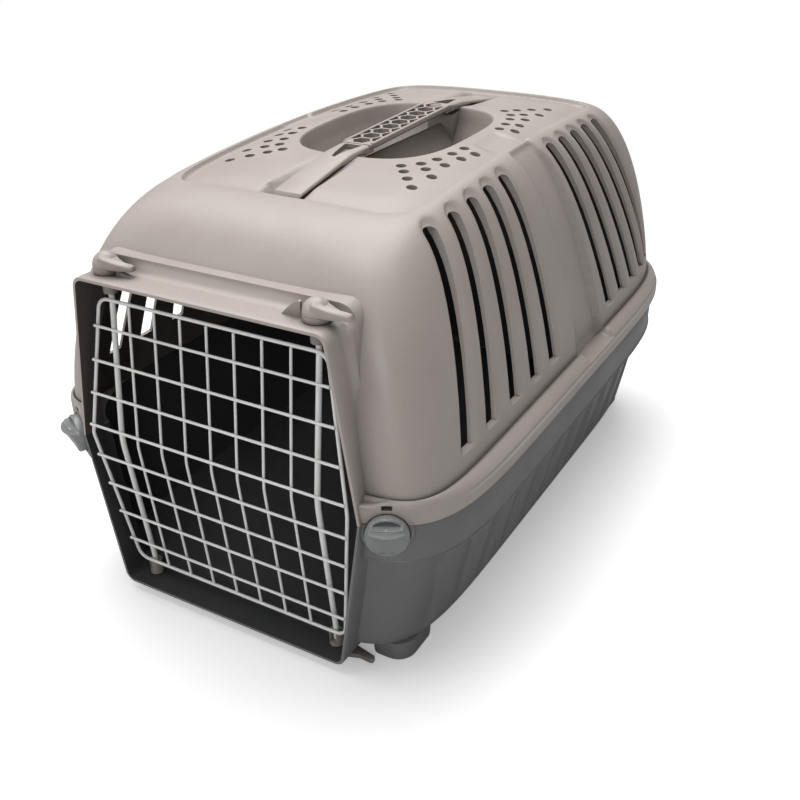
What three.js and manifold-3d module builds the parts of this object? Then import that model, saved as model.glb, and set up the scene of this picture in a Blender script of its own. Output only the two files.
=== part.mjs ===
// Pet transport carrier: two moulded shells, a bowed wire door, a carry handle and two latches.
// Millimetres, +Z up, door towards -Y, +X to the right when facing the door.
// Origin: on the resting plane, at the centre of the footprint.
import * as THREE from 'three';
import { mergeVertices } from 'three/addons/utils/BufferGeometryUtils.js';
import Module from 'manifold-3d';

const SIDES = [-1, 1];          // left and right, or front and rear

// ---------------------------------------------------------------- driving dimensions
const WALL = 2.6;               // shell wall
const SPLIT_Z = 139.7;          // parting line between the two shells
const SPLIT_GAP = 0.15;         // half of the gap at the parting line
const CREASE_Z = 157;           // crease where the flank meets the rim bead
const ROOF_Z = 330;             // crown of the roof panel
const ROOF_MID_Y = 2.65;        // centre of the roof panel along Y
const BASE_Z = 14.8;            // underside of the tray, above the feet
const REACH = 400;              // half size of cutting blocks, beyond the whole carrier
const REACH_TOP_Z = 500;

// Plan outlines: half width, front y, rear y, squareness in front, squareness at the rear.
// Without the last entry the rear is as square as the front.
const RIM = [182.3, -267.8, 272.6, 7, 5.6];
const FOOT_OF_WALL = [168.6, -260, 268.3, 11.3, 6.3];
const EDGE_OF_ROOF = [105, -174, 184, 9, 14];
const ROOF_PANEL = [84, -152, 162, 8, 12];
const BOWL = [65, -83.4, 88.7, 2.5];
const BOWL_DEPTH = 44;
const TRAY_MIDDLE = [164, -260.5, 260, 5.6];
const TRAY_TOP = [172, -261.5, 264.5, 5.8, 5.1];
const TRAY_MIDDLE_Z = 66;
const TRAY_TOP_Z = 104;
const OUTLINE_POINTS = 44;
const OUTLINE_MID_Y = 1;

const COLLAR_FRONT_Y = -273;
const COLLAR_BACK_Y = -216;
const COLLAR_TOP_Z = 273.9;     // outside of the collar
const COLLAR_BOTTOM_Z = 7.4;
const COLLAR_TOP_X = 105.4;
const COLLAR_KINK_X = 125;
const COLLAR_BOTTOM_X = 105.1;
const SILL_Y = -250;            // front and height of the sill in the doorway
const SILL_Z = 20;

const DOOR_AXIS_X = 88.5;       // pivot rods, left and right
const DOOR_AXIS_Y = -255.5;

const SNAP_RUN = 159;           // snap tongues of the handle, from the middle of the roof
const CHANNEL_START = 94;       // ends of the handle channels, from the middle of the roof
const CHANNEL_END = 168;

const KNOB_R = 15.2;            // rotary shell latches
const SPINDLE_R = 3.6;
const LATCH_PLAY = 0.5;         // radial play of knob and spindle
const LATCH_X = 142.2;          // centre of the face of the right-hand latch
const LATCH_Y = -267.6;
const LATCH_Z = 133.2;
const LATCH_ANGLE = 28;         // degrees the latch axis turns outwards from straight ahead

const FINISHES = {
  base: { color: 0x5c5d61, roughness: 0.6, metalness: 0 },
  top: { color: 0xb3a8a1, roughness: 0.5, metalness: 0 },
  cup: { color: 0xa59c8c, roughness: 0.6, metalness: 0 },
  cam: { color: 0xa59c8c, roughness: 0.4, metalness: 0 },
  knob: { color: 0x9a9c9c, roughness: 0.3, metalness: 0 },
  wire: { color: 0xf1f1f0, roughness: 0.35, metalness: 0.1 },
};

// ---------------------------------------------------------------- solids and meshes
const wasm = await Module();
wasm.setup();

// Welds a geometry and turns its faces outwards before making a solid of it.
function toSolid(geometry) {
  geometry.deleteAttribute('normal');
  geometry.deleteAttribute('uv');
  const welded = mergeVertices(geometry, 1e-4);
  const positions = new Float32Array(welded.attributes.position.array);
  const triangles = new Uint32Array(welded.index.array);
  const corner = (i) => new THREE.Vector3().fromArray(positions, triangles[i] * 3);
  let volume = 0;
  for (let i = 0; i < triangles.length; i += 3) {
    volume += corner(i).dot(corner(i + 1).cross(corner(i + 2)));
  }
  if (volume < 0) {
    for (let i = 0; i < triangles.length; i += 3) {
      [triangles[i], triangles[i + 1]] = [triangles[i + 1], triangles[i]];
    }
  }
  const mesh = new wasm.Mesh({ numProp: 3, vertProperties: positions, triVerts: triangles });
  mesh.merge();
  return new wasm.Manifold(mesh);
}

function fromSolid(solid) {
  const mesh = solid.getMesh();
  const geometry = new THREE.BufferGeometry();
  geometry.setAttribute('position', new THREE.Float32BufferAttribute(mesh.vertProperties, 3));
  geometry.setIndex(new THREE.Uint32BufferAttribute(mesh.triVerts, 1));
  geometry.computeVertexNormals();
  return geometry;
}

// Skin over rings of equal length. Open ends are capped with fans to the ring's centre;
// a closed loft joins its last ring to the first.
function loft(rings, closed = false) {
  const count = rings[0].length;
  const positions = rings.flat(2);
  const index = [];
  const spans = closed ? rings.length : rings.length - 1;
  for (let r = 0; r < spans; r++) {
    const here = r * count;
    const there = ((r + 1) % rings.length) * count;
    for (let i = 0; i < count; i++) {
      const next = (i + 1) % count;
      index.push(here + i, here + next, there + next, here + i, there + next, there + i);
    }
  }
  const cap = (r, flip) => {
    const centre = [0, 0, 0];
    for (const point of rings[r]) {
      for (let k = 0; k < 3; k++) centre[k] += point[k] / count;
    }
    const hub = positions.length / 3;
    positions.push(...centre);
    for (let i = 0; i < count; i++) {
      const here = r * count + i;
      const next = r * count + (i + 1) % count;
      index.push(hub, ...(flip ? [next, here] : [here, next]));
    }
  };
  if (!closed) {
    cap(0, true);
    cap(rings.length - 1, false);
  }
  const geometry = new THREE.BufferGeometry();
  geometry.setAttribute('position', new THREE.Float32BufferAttribute(positions, 3));
  geometry.setIndex(index);
  return geometry;
}

// Round bar along a polyline; each ring stands square to the line between its neighbours.
function bar(points, radius, sides = 8, closed = false) {
  const path = points.map((point) => new THREE.Vector3(...point));
  const last = path.length - 1;
  let reference = null;
  const rings = path.map((centre, i) => {
    const before = path[i > 0 ? i - 1 : (closed ? last : 0)];
    const after = path[i < last ? i + 1 : (closed ? 0 : last)];
    const along = after.clone().sub(before).normalize();
    reference ??= Math.abs(along.y) < 0.9
      ? new THREE.Vector3(0, 1, 0)
      : new THREE.Vector3(1, 0, 0);
    const shadow = along.clone().multiplyScalar(reference.dot(along));
    const across = reference.clone().sub(shadow).normalize();
    reference = across;
    const third = new THREE.Vector3().crossVectors(along, across);
    return Array.from({ length: sides }, (_, k) => {
      const angle = (2 * Math.PI * (k + 0.5)) / sides;
      return centre.clone()
        .addScaledVector(across, radius * Math.cos(angle))
        .addScaledVector(third, radius * Math.sin(angle))
        .toArray();
    });
  });
  return loft(rings, closed);
}

// Polygon with rounded corners: [[x, y, radius], ...] counter-clockwise.
function rounded(corners, steps = 4) {
  const count = corners.length;
  const at = (i) => new THREE.Vector2(corners[i % count][0], corners[i % count][1]);
  return corners.flatMap(([x, y, radius], i) => {
    if (radius === 0) return [[x, y]];
    const corner = at(i);
    const back = at(i + count - 1).sub(corner).normalize();
    const ahead = at(i + 1).sub(corner).normalize();
    const half = Math.acos(THREE.MathUtils.clamp(back.dot(ahead), -1, 1)) / 2;
    const trim = radius / Math.tan(half);
    const inwards = back.clone().add(ahead).normalize();
    const centre = corner.clone().addScaledVector(inwards, radius / Math.sin(half));
    const start = corner.clone().addScaledVector(back, trim).sub(centre);
    const end = corner.clone().addScaledVector(ahead, trim).sub(centre);
    const from = Math.atan2(start.y, start.x);
    let to = Math.atan2(end.y, end.x);
    while (to - from > Math.PI) to -= 2 * Math.PI;
    while (to - from < -Math.PI) to += 2 * Math.PI;
    return Array.from({ length: steps + 1 }, (_, k) => {
      const angle = from + ((to - from) * k) / steps;
      return [centre.x + radius * Math.cos(angle), centre.y + radius * Math.sin(angle)];
    });
  });
}

// Completes the right half of a profile, bottom to top, with its mirror image.
function mirrored(half) {
  return [...half, ...half.map(([x, ...rest]) => [-x, ...rest]).reverse()];
}

function extrude(points, depth) {
  const shape = new THREE.Shape(points.map(([x, y]) => new THREE.Vector2(x, y)));
  return new THREE.ExtrudeGeometry(shape, { depth, bevelEnabled: false, steps: 1 });
}

// Solid from a profile of [distance from the middle of the roof towards end * Y, z],
// running from x0 to x1.
function alongX(points, end, x0, x1) {
  const profile = end > 0 ? points : points.map(([run, z]) => [-run, z]).reverse();
  const turn = new THREE.Matrix4().set(
    0, 0, 1, x0,
    1, 0, 0, ROOF_MID_Y,
    0, 1, 0, 0,
    0, 0, 0, 1,
  );
  return toSolid(extrude(profile, x1 - x0).applyMatrix4(turn));
}

// Solid from a profile in x and z, running from y0 to y1.
function alongY(points, y0, y1) {
  const turn = new THREE.Matrix4().set(
    1, 0, 0, 0,
    0, 0, 1, y0,
    0, -1, 0, 0,
    0, 0, 0, 1,
  );
  const profile = points.map(([x, z]) => [x, -z]).reverse();
  return toSolid(extrude(profile, y1 - y0).applyMatrix4(turn));
}

function cylinder(radius, z0, z1, sides) {
  return new THREE.CylinderGeometry(radius, radius, z1 - z0, sides)
    .rotateX(Math.PI / 2)
    .translate(0, 0, (z0 + z1) / 2);
}

function disc(radius, z0, z1, sides, x = 0, y = 0) {
  return toSolid(cylinder(radius, z0, z1, sides).translate(x, y, 0));
}

// Solid turned about Z from a profile of [radius, z].
function turned(profile, sides) {
  const points = profile.map(([radius, z]) => new THREE.Vector2(radius, z));
  return toSolid(new THREE.LatheGeometry(points, sides).rotateX(Math.PI / 2));
}

function block(x0, x1, y0, y1, z0, z1) {
  const box = new THREE.BoxGeometry(x1 - x0, y1 - y0, z1 - z0);
  return toSolid(box.translate((x0 + x1) / 2, (y0 + y1) / 2, (z0 + z1) / 2));
}

const lerp = (from, to, t) => from + (to - from) * t;

const blend = (from, to, t) => from.map((value, i) => lerp(value, to[i], t));

// Plan outline moved outwards all round, or inwards if the amount is negative.
const grown = ([halfWidth, front, rear, ...squareness], by) => (
  [halfWidth + by, front - by, rear + by, ...squareness]);

// Superellipse ring on a plan outline; the height is a number or a function of x and y.
function ring([halfWidth, front, rear, squareFront, squareRear = squareFront], height) {
  return Array.from({ length: OUTLINE_POINTS }, (_, i) => {
    const angle = (2 * Math.PI * (i + 0.5)) / OUTLINE_POINTS;
    const cos = Math.cos(angle);
    const sin = Math.sin(angle);
    const power = 2 / (sin < 0 ? squareFront : squareRear);
    const reach = sin < 0 ? OUTLINE_MID_Y - front : rear - OUTLINE_MID_Y;
    const x = halfWidth * Math.sign(cos) * Math.abs(cos) ** power;
    const y = OUTLINE_MID_Y + reach * Math.sign(sin) * Math.abs(sin) ** power;
    return [x, y, typeof height === 'function' ? height(x, y) : height];
  });
}

// ---------------------------------------------------------------- collar and doorway
// Corners as x, z, corner radius.
const collarOutside = mirrored([
  [COLLAR_BOTTOM_X, COLLAR_BOTTOM_Z, 9],
  [COLLAR_KINK_X, SPLIT_Z, 0],
  [COLLAR_TOP_X, COLLAR_TOP_Z, 9],
]);
const collarInside = mirrored([
  [COLLAR_BOTTOM_X - 2.2, COLLAR_BOTTOM_Z + 2.6, 7],
  [COLLAR_KINK_X - 2.1, SPLIT_Z, 0],
  [COLLAR_TOP_X - 2.2, COLLAR_TOP_Z - 2.7, 7],
]);
const collar = alongY(rounded(collarOutside), COLLAR_FRONT_Y, COLLAR_BACK_Y);

// The doorway: full height as far as the sill, then above the sill into the cabin.
const overSill = alongY(rounded(collarInside), COLLAR_FRONT_Y - 5, COLLAR_BACK_Y + 8)
  .intersect(block(-REACH, REACH, SILL_Y - 1, REACH, SILL_Z, REACH_TOP_Z));
const doorway = alongY(rounded(collarInside), COLLAR_FRONT_Y - 5, SILL_Y).add(overSill);

const aboveSplit = block(-REACH, REACH, -REACH, REACH, SPLIT_Z + SPLIT_GAP, REACH_TOP_Z);
const belowSplit = block(-REACH, REACH, -REACH, REACH, -20, SPLIT_Z - SPLIT_GAP);

// ---------------------------------------------------------------- seats of the latches
// Puts a geometry at a latch: local X along the shoulder, Y up, Z outwards from the face.
function atLatch(geometry, side) {
  const angle = THREE.MathUtils.degToRad(LATCH_ANGLE);
  const cos = Math.cos(angle);
  const sin = Math.sin(angle);
  const frame = new THREE.Matrix4().makeBasis(
    new THREE.Vector3(cos, side * sin, 0),
    new THREE.Vector3(0, 0, 1),
    new THREE.Vector3(side * sin, -cos, 0),
  );
  frame.setPosition(side * LATCH_X, LATCH_Y, LATCH_Z);
  return geometry.applyMatrix4(frame);
}

function latchDisc(radius, z0, z1, sides, side) {
  return toSolid(atLatch(cylinder(radius, z0, z1, sides), side));
}

// Round block behind a latch, shared between the two shells at the parting line.
function latchHousing(side) {
  return latchDisc(19, -20, -6.2, 24, side).subtract(doorway);
}

function cutLatchSeat(shell, side) {
  const knobRecess = latchDisc(KNOB_R + LATCH_PLAY, -8, 5, 24, side);
  const camRecess = latchDisc(12.6, -11.4, -7, 20, side);
  const spindleBore = latchDisc(SPINDLE_R + LATCH_PLAY, -15.6, 5, 12, side);
  return shell.subtract(knobRecess).subtract(camRecess).subtract(spindleBore);
}

// Hole through the collar for the stem of a door lever.
function leverBore(side, z0, z1) {
  return disc(4, z0, z1, 12, side * DOOR_AXIS_X, DOOR_AXIS_Y);
}

// ---------------------------------------------------------------- top shell
// Lip, shallow groove and rounded bead: share of the way from rim to foot of wall, z.
const RIM_BEAD = [
  [0, SPLIT_Z + SPLIT_GAP], [0, 148.6], [0.12, 149.9], [0.24, 153.1],
  [0.5, 156.4], [0.78, 157.6], [0.96, 156.9],
];
const SHOULDER_RINGS = 8;
const SHOULDER_START = 0.4;     // radians, where the shoulder curve begins

// The roof falls 6.8 at 168 in front of or behind y = 45.7, and 4.2 at 102 to either side.
const roofZ = (x, y) => (
  ROOF_Z + 0.2 - 6.8 * ((y - 45.7) / 168) ** 2 - 4.2 * (Math.abs(x) / 102) ** 3);

// Floor of a handle channel; run is the distance from the middle of the roof.
function channelFloor(end, run) {
  const share = Math.max(0, (run - CHANNEL_START) / (CHANNEL_END - CHANNEL_START));
  return roofZ(0, ROOF_MID_Y + end * run) - 8 * share ** 0.8;
}
const CHANNEL_RUNS = [CHANNEL_START, 108, 124, 144, CHANNEL_END];

const SLOT_WIDTH = 13;          // side vents
const SLOT_BOTTOM_Z = 170;
const SIDE_SLOTS = [            // y at the bottom, y at the top, z of the top
  [-195.5, -160.3, 305], [-158, -129.3, 306.5], [-117.5, -100.7, 308.5],
  [-79, -74.3, 310], [-42, -48, 311], [90.5, 44, 313], [124.8, 70.5, 313],
  [158, 97, 312.5], [189.5, 123.5, 312], [217, 149.5, 311],
];
const ROOF_HOLE_R = 4;
const ROOF_HOLES = [            // one quadrant: x, distance from ROOF_MID_Y
  [81, 124], [70.6, 112], [61.4, 101], [53.8, 91.5],
  [83.5, 99], [73.2, 89], [64.6, 80.5],
  [81, 73.8], [70.4, 66.2],
  [74.3, 48.8], [76.3, 32.3], [84.5, 54], [88, 37],
];

// Quarter curve from the wall over the shoulder to the edge of the roof panel.
function shoulderRing(step, inset) {
  const angle = lerp(SHOULDER_START, Math.PI / 2, step / (SHOULDER_RINGS - 1));
  const turn = 1 - Math.cos(angle);
  const up = Math.sin(angle) ** 2.55;
  const inward = turn ** 1.35;
  const backward = turn ** 2.5;
  const square = turn ** 1.3;
  const shares = [inward, backward, inward, square, square];
  const outline = FOOT_OF_WALL.map((value, i) => lerp(value, EDGE_OF_ROOF[i], shares[i]));
  return ring(
    grown(outline, -inset * (1 - up)),
    (x, y) => lerp(CREASE_Z, roofZ(x, y) + 0.6, up) - inset * up,
  );
}

// Shoulder, roof and bowl, the same for the outside (inset 0) and the cavity.
function upperRings(inset) {
  const bowl = (by) => grown(BOWL, by);
  const bowlFloorZ = ROOF_Z - BOWL_DEPTH;
  return [
    ...Array.from({ length: SHOULDER_RINGS }, (_, step) => shoulderRing(step, inset)),
    ring(grown(EDGE_OF_ROOF, -3), (x, y) => roofZ(x, y) - 2.4 - inset),
    ring(ROOF_PANEL, (x, y) => roofZ(x, y) - inset),
    ring(bowl(3 + inset), (x, y) => roofZ(x, y) - inset),
    ring(bowl(inset), (x, y) => roofZ(x, y) - 4 - inset * 0.6),
    ring(bowl(-9 + inset), bowlFloorZ + 7 - inset * 0.4),
    ring(bowl(-16), bowlFloorZ - inset),
  ];
}

function topOutside() {
  const bead = RIM_BEAD.map(([share, z]) => ring(blend(RIM, FOOT_OF_WALL, share), z));
  return toSolid(loft([...bead, ...upperRings(0)]));
}

function topCavity() {
  const foot = grown(FOOT_OF_WALL, -WALL);
  const wall = [SPLIT_Z - 10, CREASE_Z - 1.5].map((z) => ring(foot, z));
  return toSolid(loft([...wall, ...upperRings(WALL)]));
}

// Stop fin beside an upper door lever; the left one is low, since the lever passes over it.
function stopFin(side) {
  const innerX = side * (DOOR_AXIS_X - 25);
  const outerX = side * (DOOR_AXIS_X - 10.4);
  const height = side > 0 ? 11.6 : 3.9;
  return toSolid(loft([-1.2, 1.2].map((offset) => {
    const y = DOOR_AXIS_Y - 1.5 + offset;
    return [
      [innerX, y, COLLAR_TOP_Z - 1], [outerX, y, COLLAR_TOP_Z - 1],
      [outerX, y, COLLAR_TOP_Z + height], [innerX, y, COLLAR_TOP_Z + 0.8],
    ];
  })));
}

// Leaning slot with a tapered top, cut sideways through the wall.
function sideSlot(side, [bottomY, topY, topZ]) {
  const half = side * SLOT_WIDTH / 2;
  return toSolid(loft([90, 200].map((distance) => {
    const x = side * distance;
    return [
      [x, bottomY - half, SLOT_BOTTOM_Z], [x, bottomY + half, SLOT_BOTTOM_Z],
      [x, topY + half, topZ - 4], [x, topY + half * 0.4, topZ],
      [x, topY - half * 0.4, topZ], [x, topY - half, topZ - 4],
    ];
  })));
}

function cutVents(shell) {
  let result = shell;
  for (const side of SIDES) {
    for (const slot of SIDE_SLOTS) result = result.subtract(sideSlot(side, slot));
  }
  for (const [x, distance] of ROOF_HOLES) {
    for (const side of SIDES) {
      for (const end of SIDES) {
        const y = ROOF_MID_Y + end * distance;
        result = result.subtract(disc(ROOF_HOLE_R, 300, 340, 6, side * x, y));
      }
    }
  }
  return result;
}

// Channels for the feet of the handle, with a slot in each for the snap tongue.
function addHandleChannels(shell) {
  let result = shell;
  for (const end of SIDES) {
    const floor = CHANNEL_RUNS.map((run) => [run, channelFloor(end, run)]);
    const underside = floor.slice(1).map(([run, z]) => [run, z - WALL]);
    const backing = [...underside, [166, floor[4][1] + 4.5], [108, floor[1][1] - 1.2]];
    const cut = [...floor, [CHANNEL_END, 345], [CHANNEL_START, 345]];
    result = result.add(alongX(backing, end, -17, 17)).subtract(alongX(cut, end, -14, 14));
  }
  for (const end of SIDES) {
    const y = ROOF_MID_Y + end * SNAP_RUN;
    result = result.subtract(block(-6, 6, y - 3, y + 3, 300, 340));
  }
  return result;
}

function topShell() {
  let shell = topOutside().add(collar.intersect(aboveSplit)).subtract(topCavity());
  for (const side of SIDES) {
    shell = shell.add(latchHousing(side).intersect(aboveSplit)).add(stopFin(side));
    shell = cutLatchSeat(shell, side);
    shell = shell.subtract(leverBore(side, COLLAR_TOP_Z - 6, COLLAR_TOP_Z + 3));
    // room for the dome of the door lever in the front wall
    shell = shell.subtract(disc(
      10.4, COLLAR_TOP_Z + 0.02, COLLAR_TOP_Z + 17, 20, side * DOOR_AXIS_X, DOOR_AXIS_Y,
    ));
  }
  shell = shell.subtract(doorway);
  return fromSolid(addHandleChannels(cutVents(shell)));
}

// ---------------------------------------------------------------- base shell
// Stations as z, plan outline.
const BASE_OUTSIDE = [
  [BASE_Z + 1.5, [132, -240, 236, 6]],
  [BASE_Z, [143, -252, 246, 7]],
  [BASE_Z + 2, [150, -257, 251, 7]],
  [BASE_Z + 8, [153.5, -259, 254, 6.6]],
  [TRAY_MIDDLE_Z, TRAY_MIDDLE],
  [TRAY_TOP_Z, TRAY_TOP],
  [106, [178, -264.5, 269.5, 7, 5.6]],
  [SPLIT_Z - SPLIT_GAP, [179.2, -265.2, 270.2, 7, 5.6]],
];
// Outlines of the cavity before the wall is taken off.
const BASE_CAVITY = [
  [BASE_Z + WALL, [143, -250, 244, 6.8]],
  [BASE_Z + 8, [150.5, -256, 250.5, 6.6]],
  [TRAY_MIDDLE_Z, TRAY_MIDDLE],
  [TRAY_TOP_Z, TRAY_TOP],
  [SPLIT_Z - SPLIT_GAP + 10, [173.5, -262, 265.5, 7, 5.6]],
];
const FOOT_INNER_X = 110;
const FOOT_OUTER_X = 141;
const FOOT_INNER_RADIUS = 6;
const FEET = [                  // front y, rear y, radii of the outer corners front and rear
  [-243, -200, 17, 6],
  [184, 236, 6, 20],
];

function baseBody(stations, inset) {
  return toSolid(loft(stations.map(([z, outline]) => ring(grown(outline, -inset), z))));
}

function foot(side, [front, rear, frontRadius, rearRadius]) {
  const inner = side * FOOT_INNER_X;
  const outer = side * FOOT_OUTER_X;
  const innerFront = [inner, front, FOOT_INNER_RADIUS];
  const innerRear = [inner, rear, FOOT_INNER_RADIUS];
  const outerFront = [outer, front, frontRadius];
  const outerRear = [outer, rear, rearRadius];
  const corners = side > 0
    ? [innerFront, outerFront, outerRear, innerRear]
    : [outerFront, innerFront, innerRear, outerRear];
  return toSolid(extrude(rounded(corners, 3), BASE_Z + 1.6));
}

function baseShell() {
  let shell = baseBody(BASE_OUTSIDE, 0)
    .add(collar.intersect(belowSplit))
    .subtract(baseBody(BASE_CAVITY, WALL));
  for (const side of SIDES) shell = shell.add(latchHousing(side).intersect(belowSplit));
  for (const side of SIDES) {
    for (const station of FEET) shell = shell.add(foot(side, station));
  }
  for (const side of SIDES) {
    shell = cutLatchSeat(shell, side)
      .subtract(leverBore(side, COLLAR_BOTTOM_Z - 3, COLLAR_BOTTOM_Z + 6));
  }
  return fromSolid(shell.subtract(doorway));
}

// ---------------------------------------------------------------- carry handle
const GRIP_TOP_Z = 336;
const GRIP_HALF_LENGTH = 68;
const GRIP_HALF_WIDTH = 13.5;
const GRIP_THICKNESS = 12;

// Grip over the bowl and a leg at each end that snaps into the roof.
function carryHandle() {
  const corners = [
    [-GRIP_HALF_WIDTH, -GRIP_HALF_LENGTH, 4], [GRIP_HALF_WIDTH, -GRIP_HALF_LENGTH, 4],
    [GRIP_HALF_WIDTH, GRIP_HALF_LENGTH, 4], [-GRIP_HALF_WIDTH, GRIP_HALF_LENGTH, 4],
  ];
  const grip = extrude(rounded(corners, 3), GRIP_THICKNESS);
  let handle = toSolid(grip.translate(0, ROOF_MID_Y, GRIP_TOP_Z - GRIP_THICKNESS));
  for (const end of SIDES) {
    const underside = (run) => channelFloor(end, run) + 0.9;
    const startZ = underside(CHANNEL_START);
    const root = GRIP_HALF_LENGTH - 6;
    const leg = [               // distance from the middle of the roof, z
      [root, GRIP_TOP_Z - 11], [80, startZ], [CHANNEL_START, startZ],
      [125, underside(125)], [163, underside(163)],
      [163, underside(163) + 4], [125, underside(125) + 5.4], [CHANNEL_START, startZ + 5.8],
      [74, GRIP_TOP_Z - 2], [root, GRIP_TOP_Z - 1.5],
    ];
    const y = ROOF_MID_Y + end * SNAP_RUN;
    const floorZ = channelFloor(end, SNAP_RUN);
    const tongue = block(-5, 5, y - 1.8, y + 1.8, floorZ - 6, floorZ + 3);
    handle = handle.add(alongX(leg, end, -12.4, 12.4)).add(tongue);
  }
  return fromSolid(handle);
}

// ---------------------------------------------------------------- door levers and pin cups
// Stem and dome as radius, z above the face of the collar.
const LEVER_STEM = [[0, -3], [3.6, -3], [3.6, 0.3], [9.6, 0.3]];
const TOP_DOME = [[9.6, 3.4], [9, 8], [7.2, 12], [4.2, 14.4], [0, 15.2]];
const BOTTOM_DOME = [[9.4, 3.2], [8, 5], [0, 5.6]];
const LEVER_TAIL = [            // x, y, corner radius
  [0, -9.2, 0], [12, -8.4, 3], [25.6, -5.2, 2.2], [26.5, -0.2, 2.2],
  [17, -0.8, 3], [8, 4, 0], [0, 6, 0],
];
const LEVERS = [                // name, side, on top of the collar, degrees about its own axis
  ['top_right', 1, true, 5],
  ['top_left', -1, true, 5],
  ['bottom_right', 1, false, 0],
  ['bottom_left', -1, false, -25],
];

// Pivot axis at the local origin, tail along +X; a bottom lever is turned upside down.
function doorLever(onTop) {
  const body = turned([...LEVER_STEM, ...(onTop ? TOP_DOME : BOTTOM_DOME)], 14);
  const thickness = onTop ? 8 : 4;
  const liftZ = onTop ? 4.4 : 0.8;
  let tail = toSolid(extrude(rounded(LEVER_TAIL, 3), thickness).translate(0, 0, liftZ));
  if (onTop) {
    const slope = loft([-20, 20].map((y) => [[-2, y, 14], [40, y, 3.4], [40, y, 30], [-2, y, 30]]));
    tail = tail.subtract(toSolid(slope));
  }
  const geometry = fromSolid(body.add(tail));
  return onTop ? geometry : geometry.rotateX(Math.PI);
}

// Cup on the doorway side of the collar: bore for the pin, open on one side.
function pinCup(onTop) {
  const cup = disc(5.3, -12.9, -0.6, 16)
    .subtract(disc(2.75, -14, -4, 12))
    .subtract(block(-2.6, 2.6, 0, 8, -14, -4));
  const geometry = fromSolid(cup).translate(0, 0, -2.7);
  return onTop ? geometry : geometry.rotateX(Math.PI);
}

// ---------------------------------------------------------------- wire door
const BEND_Z = 144.3;           // height of the bow in the door
const DOOR_TOP_Z = 253.9;
const DOOR_BOTTOM_Z = 24.7;
const DOOR_TOP_Y = -259.3;
const DOOR_BEND_Y = -271.7;
const DOOR_BOTTOM_Y = -259.8;
const DOOR_TOP_X = 97.5;        // half widths of the perimeter wire
const DOOR_BEND_X = 114.5;
const DOOR_BOTTOM_X = 99.5;
const ROD_R = 2.15;
const FRAME_R = 1.35;
const CROSSBAR_R = 1.1;
const UPRIGHT_R = 1.05;
const WIRE_GAP = 0.3;
const UPRIGHTS = 7;
const UPRIGHT_PITCH = 23.125;
const CROSSBARS = 8;
const CROSSBAR_PITCH = 27.03;   // measured along the door
const CROSSBAR_AT_BEND = 4.32;  // where the bend falls in the count of crossbars
const CROSSBAR_RISE = 0.9936;   // height per length along the door
const CROSSBAR_OVERHANG = 0.8;

// Value at height z, straight from the bend to the top and from the bend to the bottom.
function alongDoor(z, bottom, bend, top) {
  return z > BEND_Z
    ? lerp(bend, top, (z - BEND_Z) / (DOOR_TOP_Z - BEND_Z))
    : lerp(bend, bottom, (BEND_Z - z) / (BEND_Z - DOOR_BOTTOM_Z));
}
const doorY = (z) => alongDoor(z, DOOR_BOTTOM_Y, DOOR_BEND_Y, DOOR_TOP_Y);
const doorX = (z) => alongDoor(z, DOOR_BOTTOM_X, DOOR_BEND_X, DOOR_TOP_X);

function doorFrame() {
  const corners = mirrored([    // x, z, corner radius
    [DOOR_BOTTOM_X, DOOR_BOTTOM_Z, 9],
    [DOOR_BEND_X, BEND_Z, 14],
    [DOOR_TOP_X, DOOR_TOP_Z, 9],
  ]);
  return bar(rounded(corners).map(([x, z]) => [x, doorY(z), z]), FRAME_R, 8, true);
}

function doorUpright(number) {
  const x = (number - (UPRIGHTS + 1) / 2) * UPRIGHT_PITCH;
  const topZ = DOOR_TOP_Z - FRAME_R - WIRE_GAP;
  const bottomZ = DOOR_BOTTOM_Z + FRAME_R + WIRE_GAP;
  const path = [[x, doorY(topZ), topZ], [x, DOOR_BEND_Y, BEND_Z], [x, doorY(bottomZ), bottomZ]];
  return bar(path, UPRIGHT_R);
}

// Crossbars lie in front of the frame.
function doorCrossbar(number) {
  const z = BEND_Z + (CROSSBAR_AT_BEND - number) * CROSSBAR_PITCH * CROSSBAR_RISE;
  const x = doorX(z) + CROSSBAR_OVERHANG;
  const y = doorY(z) - FRAME_R - CROSSBAR_R - WIRE_GAP;
  return bar([[-x, y, z], [x, y, z]], CROSSBAR_R);
}

// Pivot rod, bowed forward at the bend to lie just behind the frame depth.
function doorRod(side) {
  const bowY = DOOR_BEND_Y + ROD_R + FRAME_R + WIRE_GAP;
  const path = [                // y, z
    [DOOR_AXIS_Y, 266.2], [DOOR_AXIS_Y, 251.5], [bowY, BEND_Z + 5],
    [bowY, BEND_Z - 5], [DOOR_AXIS_Y, 27.5], [DOOR_AXIS_Y, 15.1],
  ];
  return bar(path.map(([y, z]) => [side * DOOR_AXIS_X, y, z]), ROD_R, 10);
}

// ---------------------------------------------------------------- rotary latches
const KNOB_PROFILE = [          // radius, z from the face
  [0, -15.1], [SPINDLE_R, -15.1], [SPINDLE_R, -7.2], [14.8, -7.2], [KNOB_R, -6.6],
  [KNOB_R, -1.2], [14, 0], [12.8, 0], [12.4, -3.4], [0, -3.6],
];
const RIDGE_HALF_LENGTH = 13.2;
const RIDGE_STEPS = 8;
const CAM = [                   // x, y, corner radius
  [-7, -6, 4], [7, -6, 4], [8, 6, 3], [4, 11.2, 2.5], [-4, 11.2, 2.5], [-8, 6, 3],
];

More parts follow.
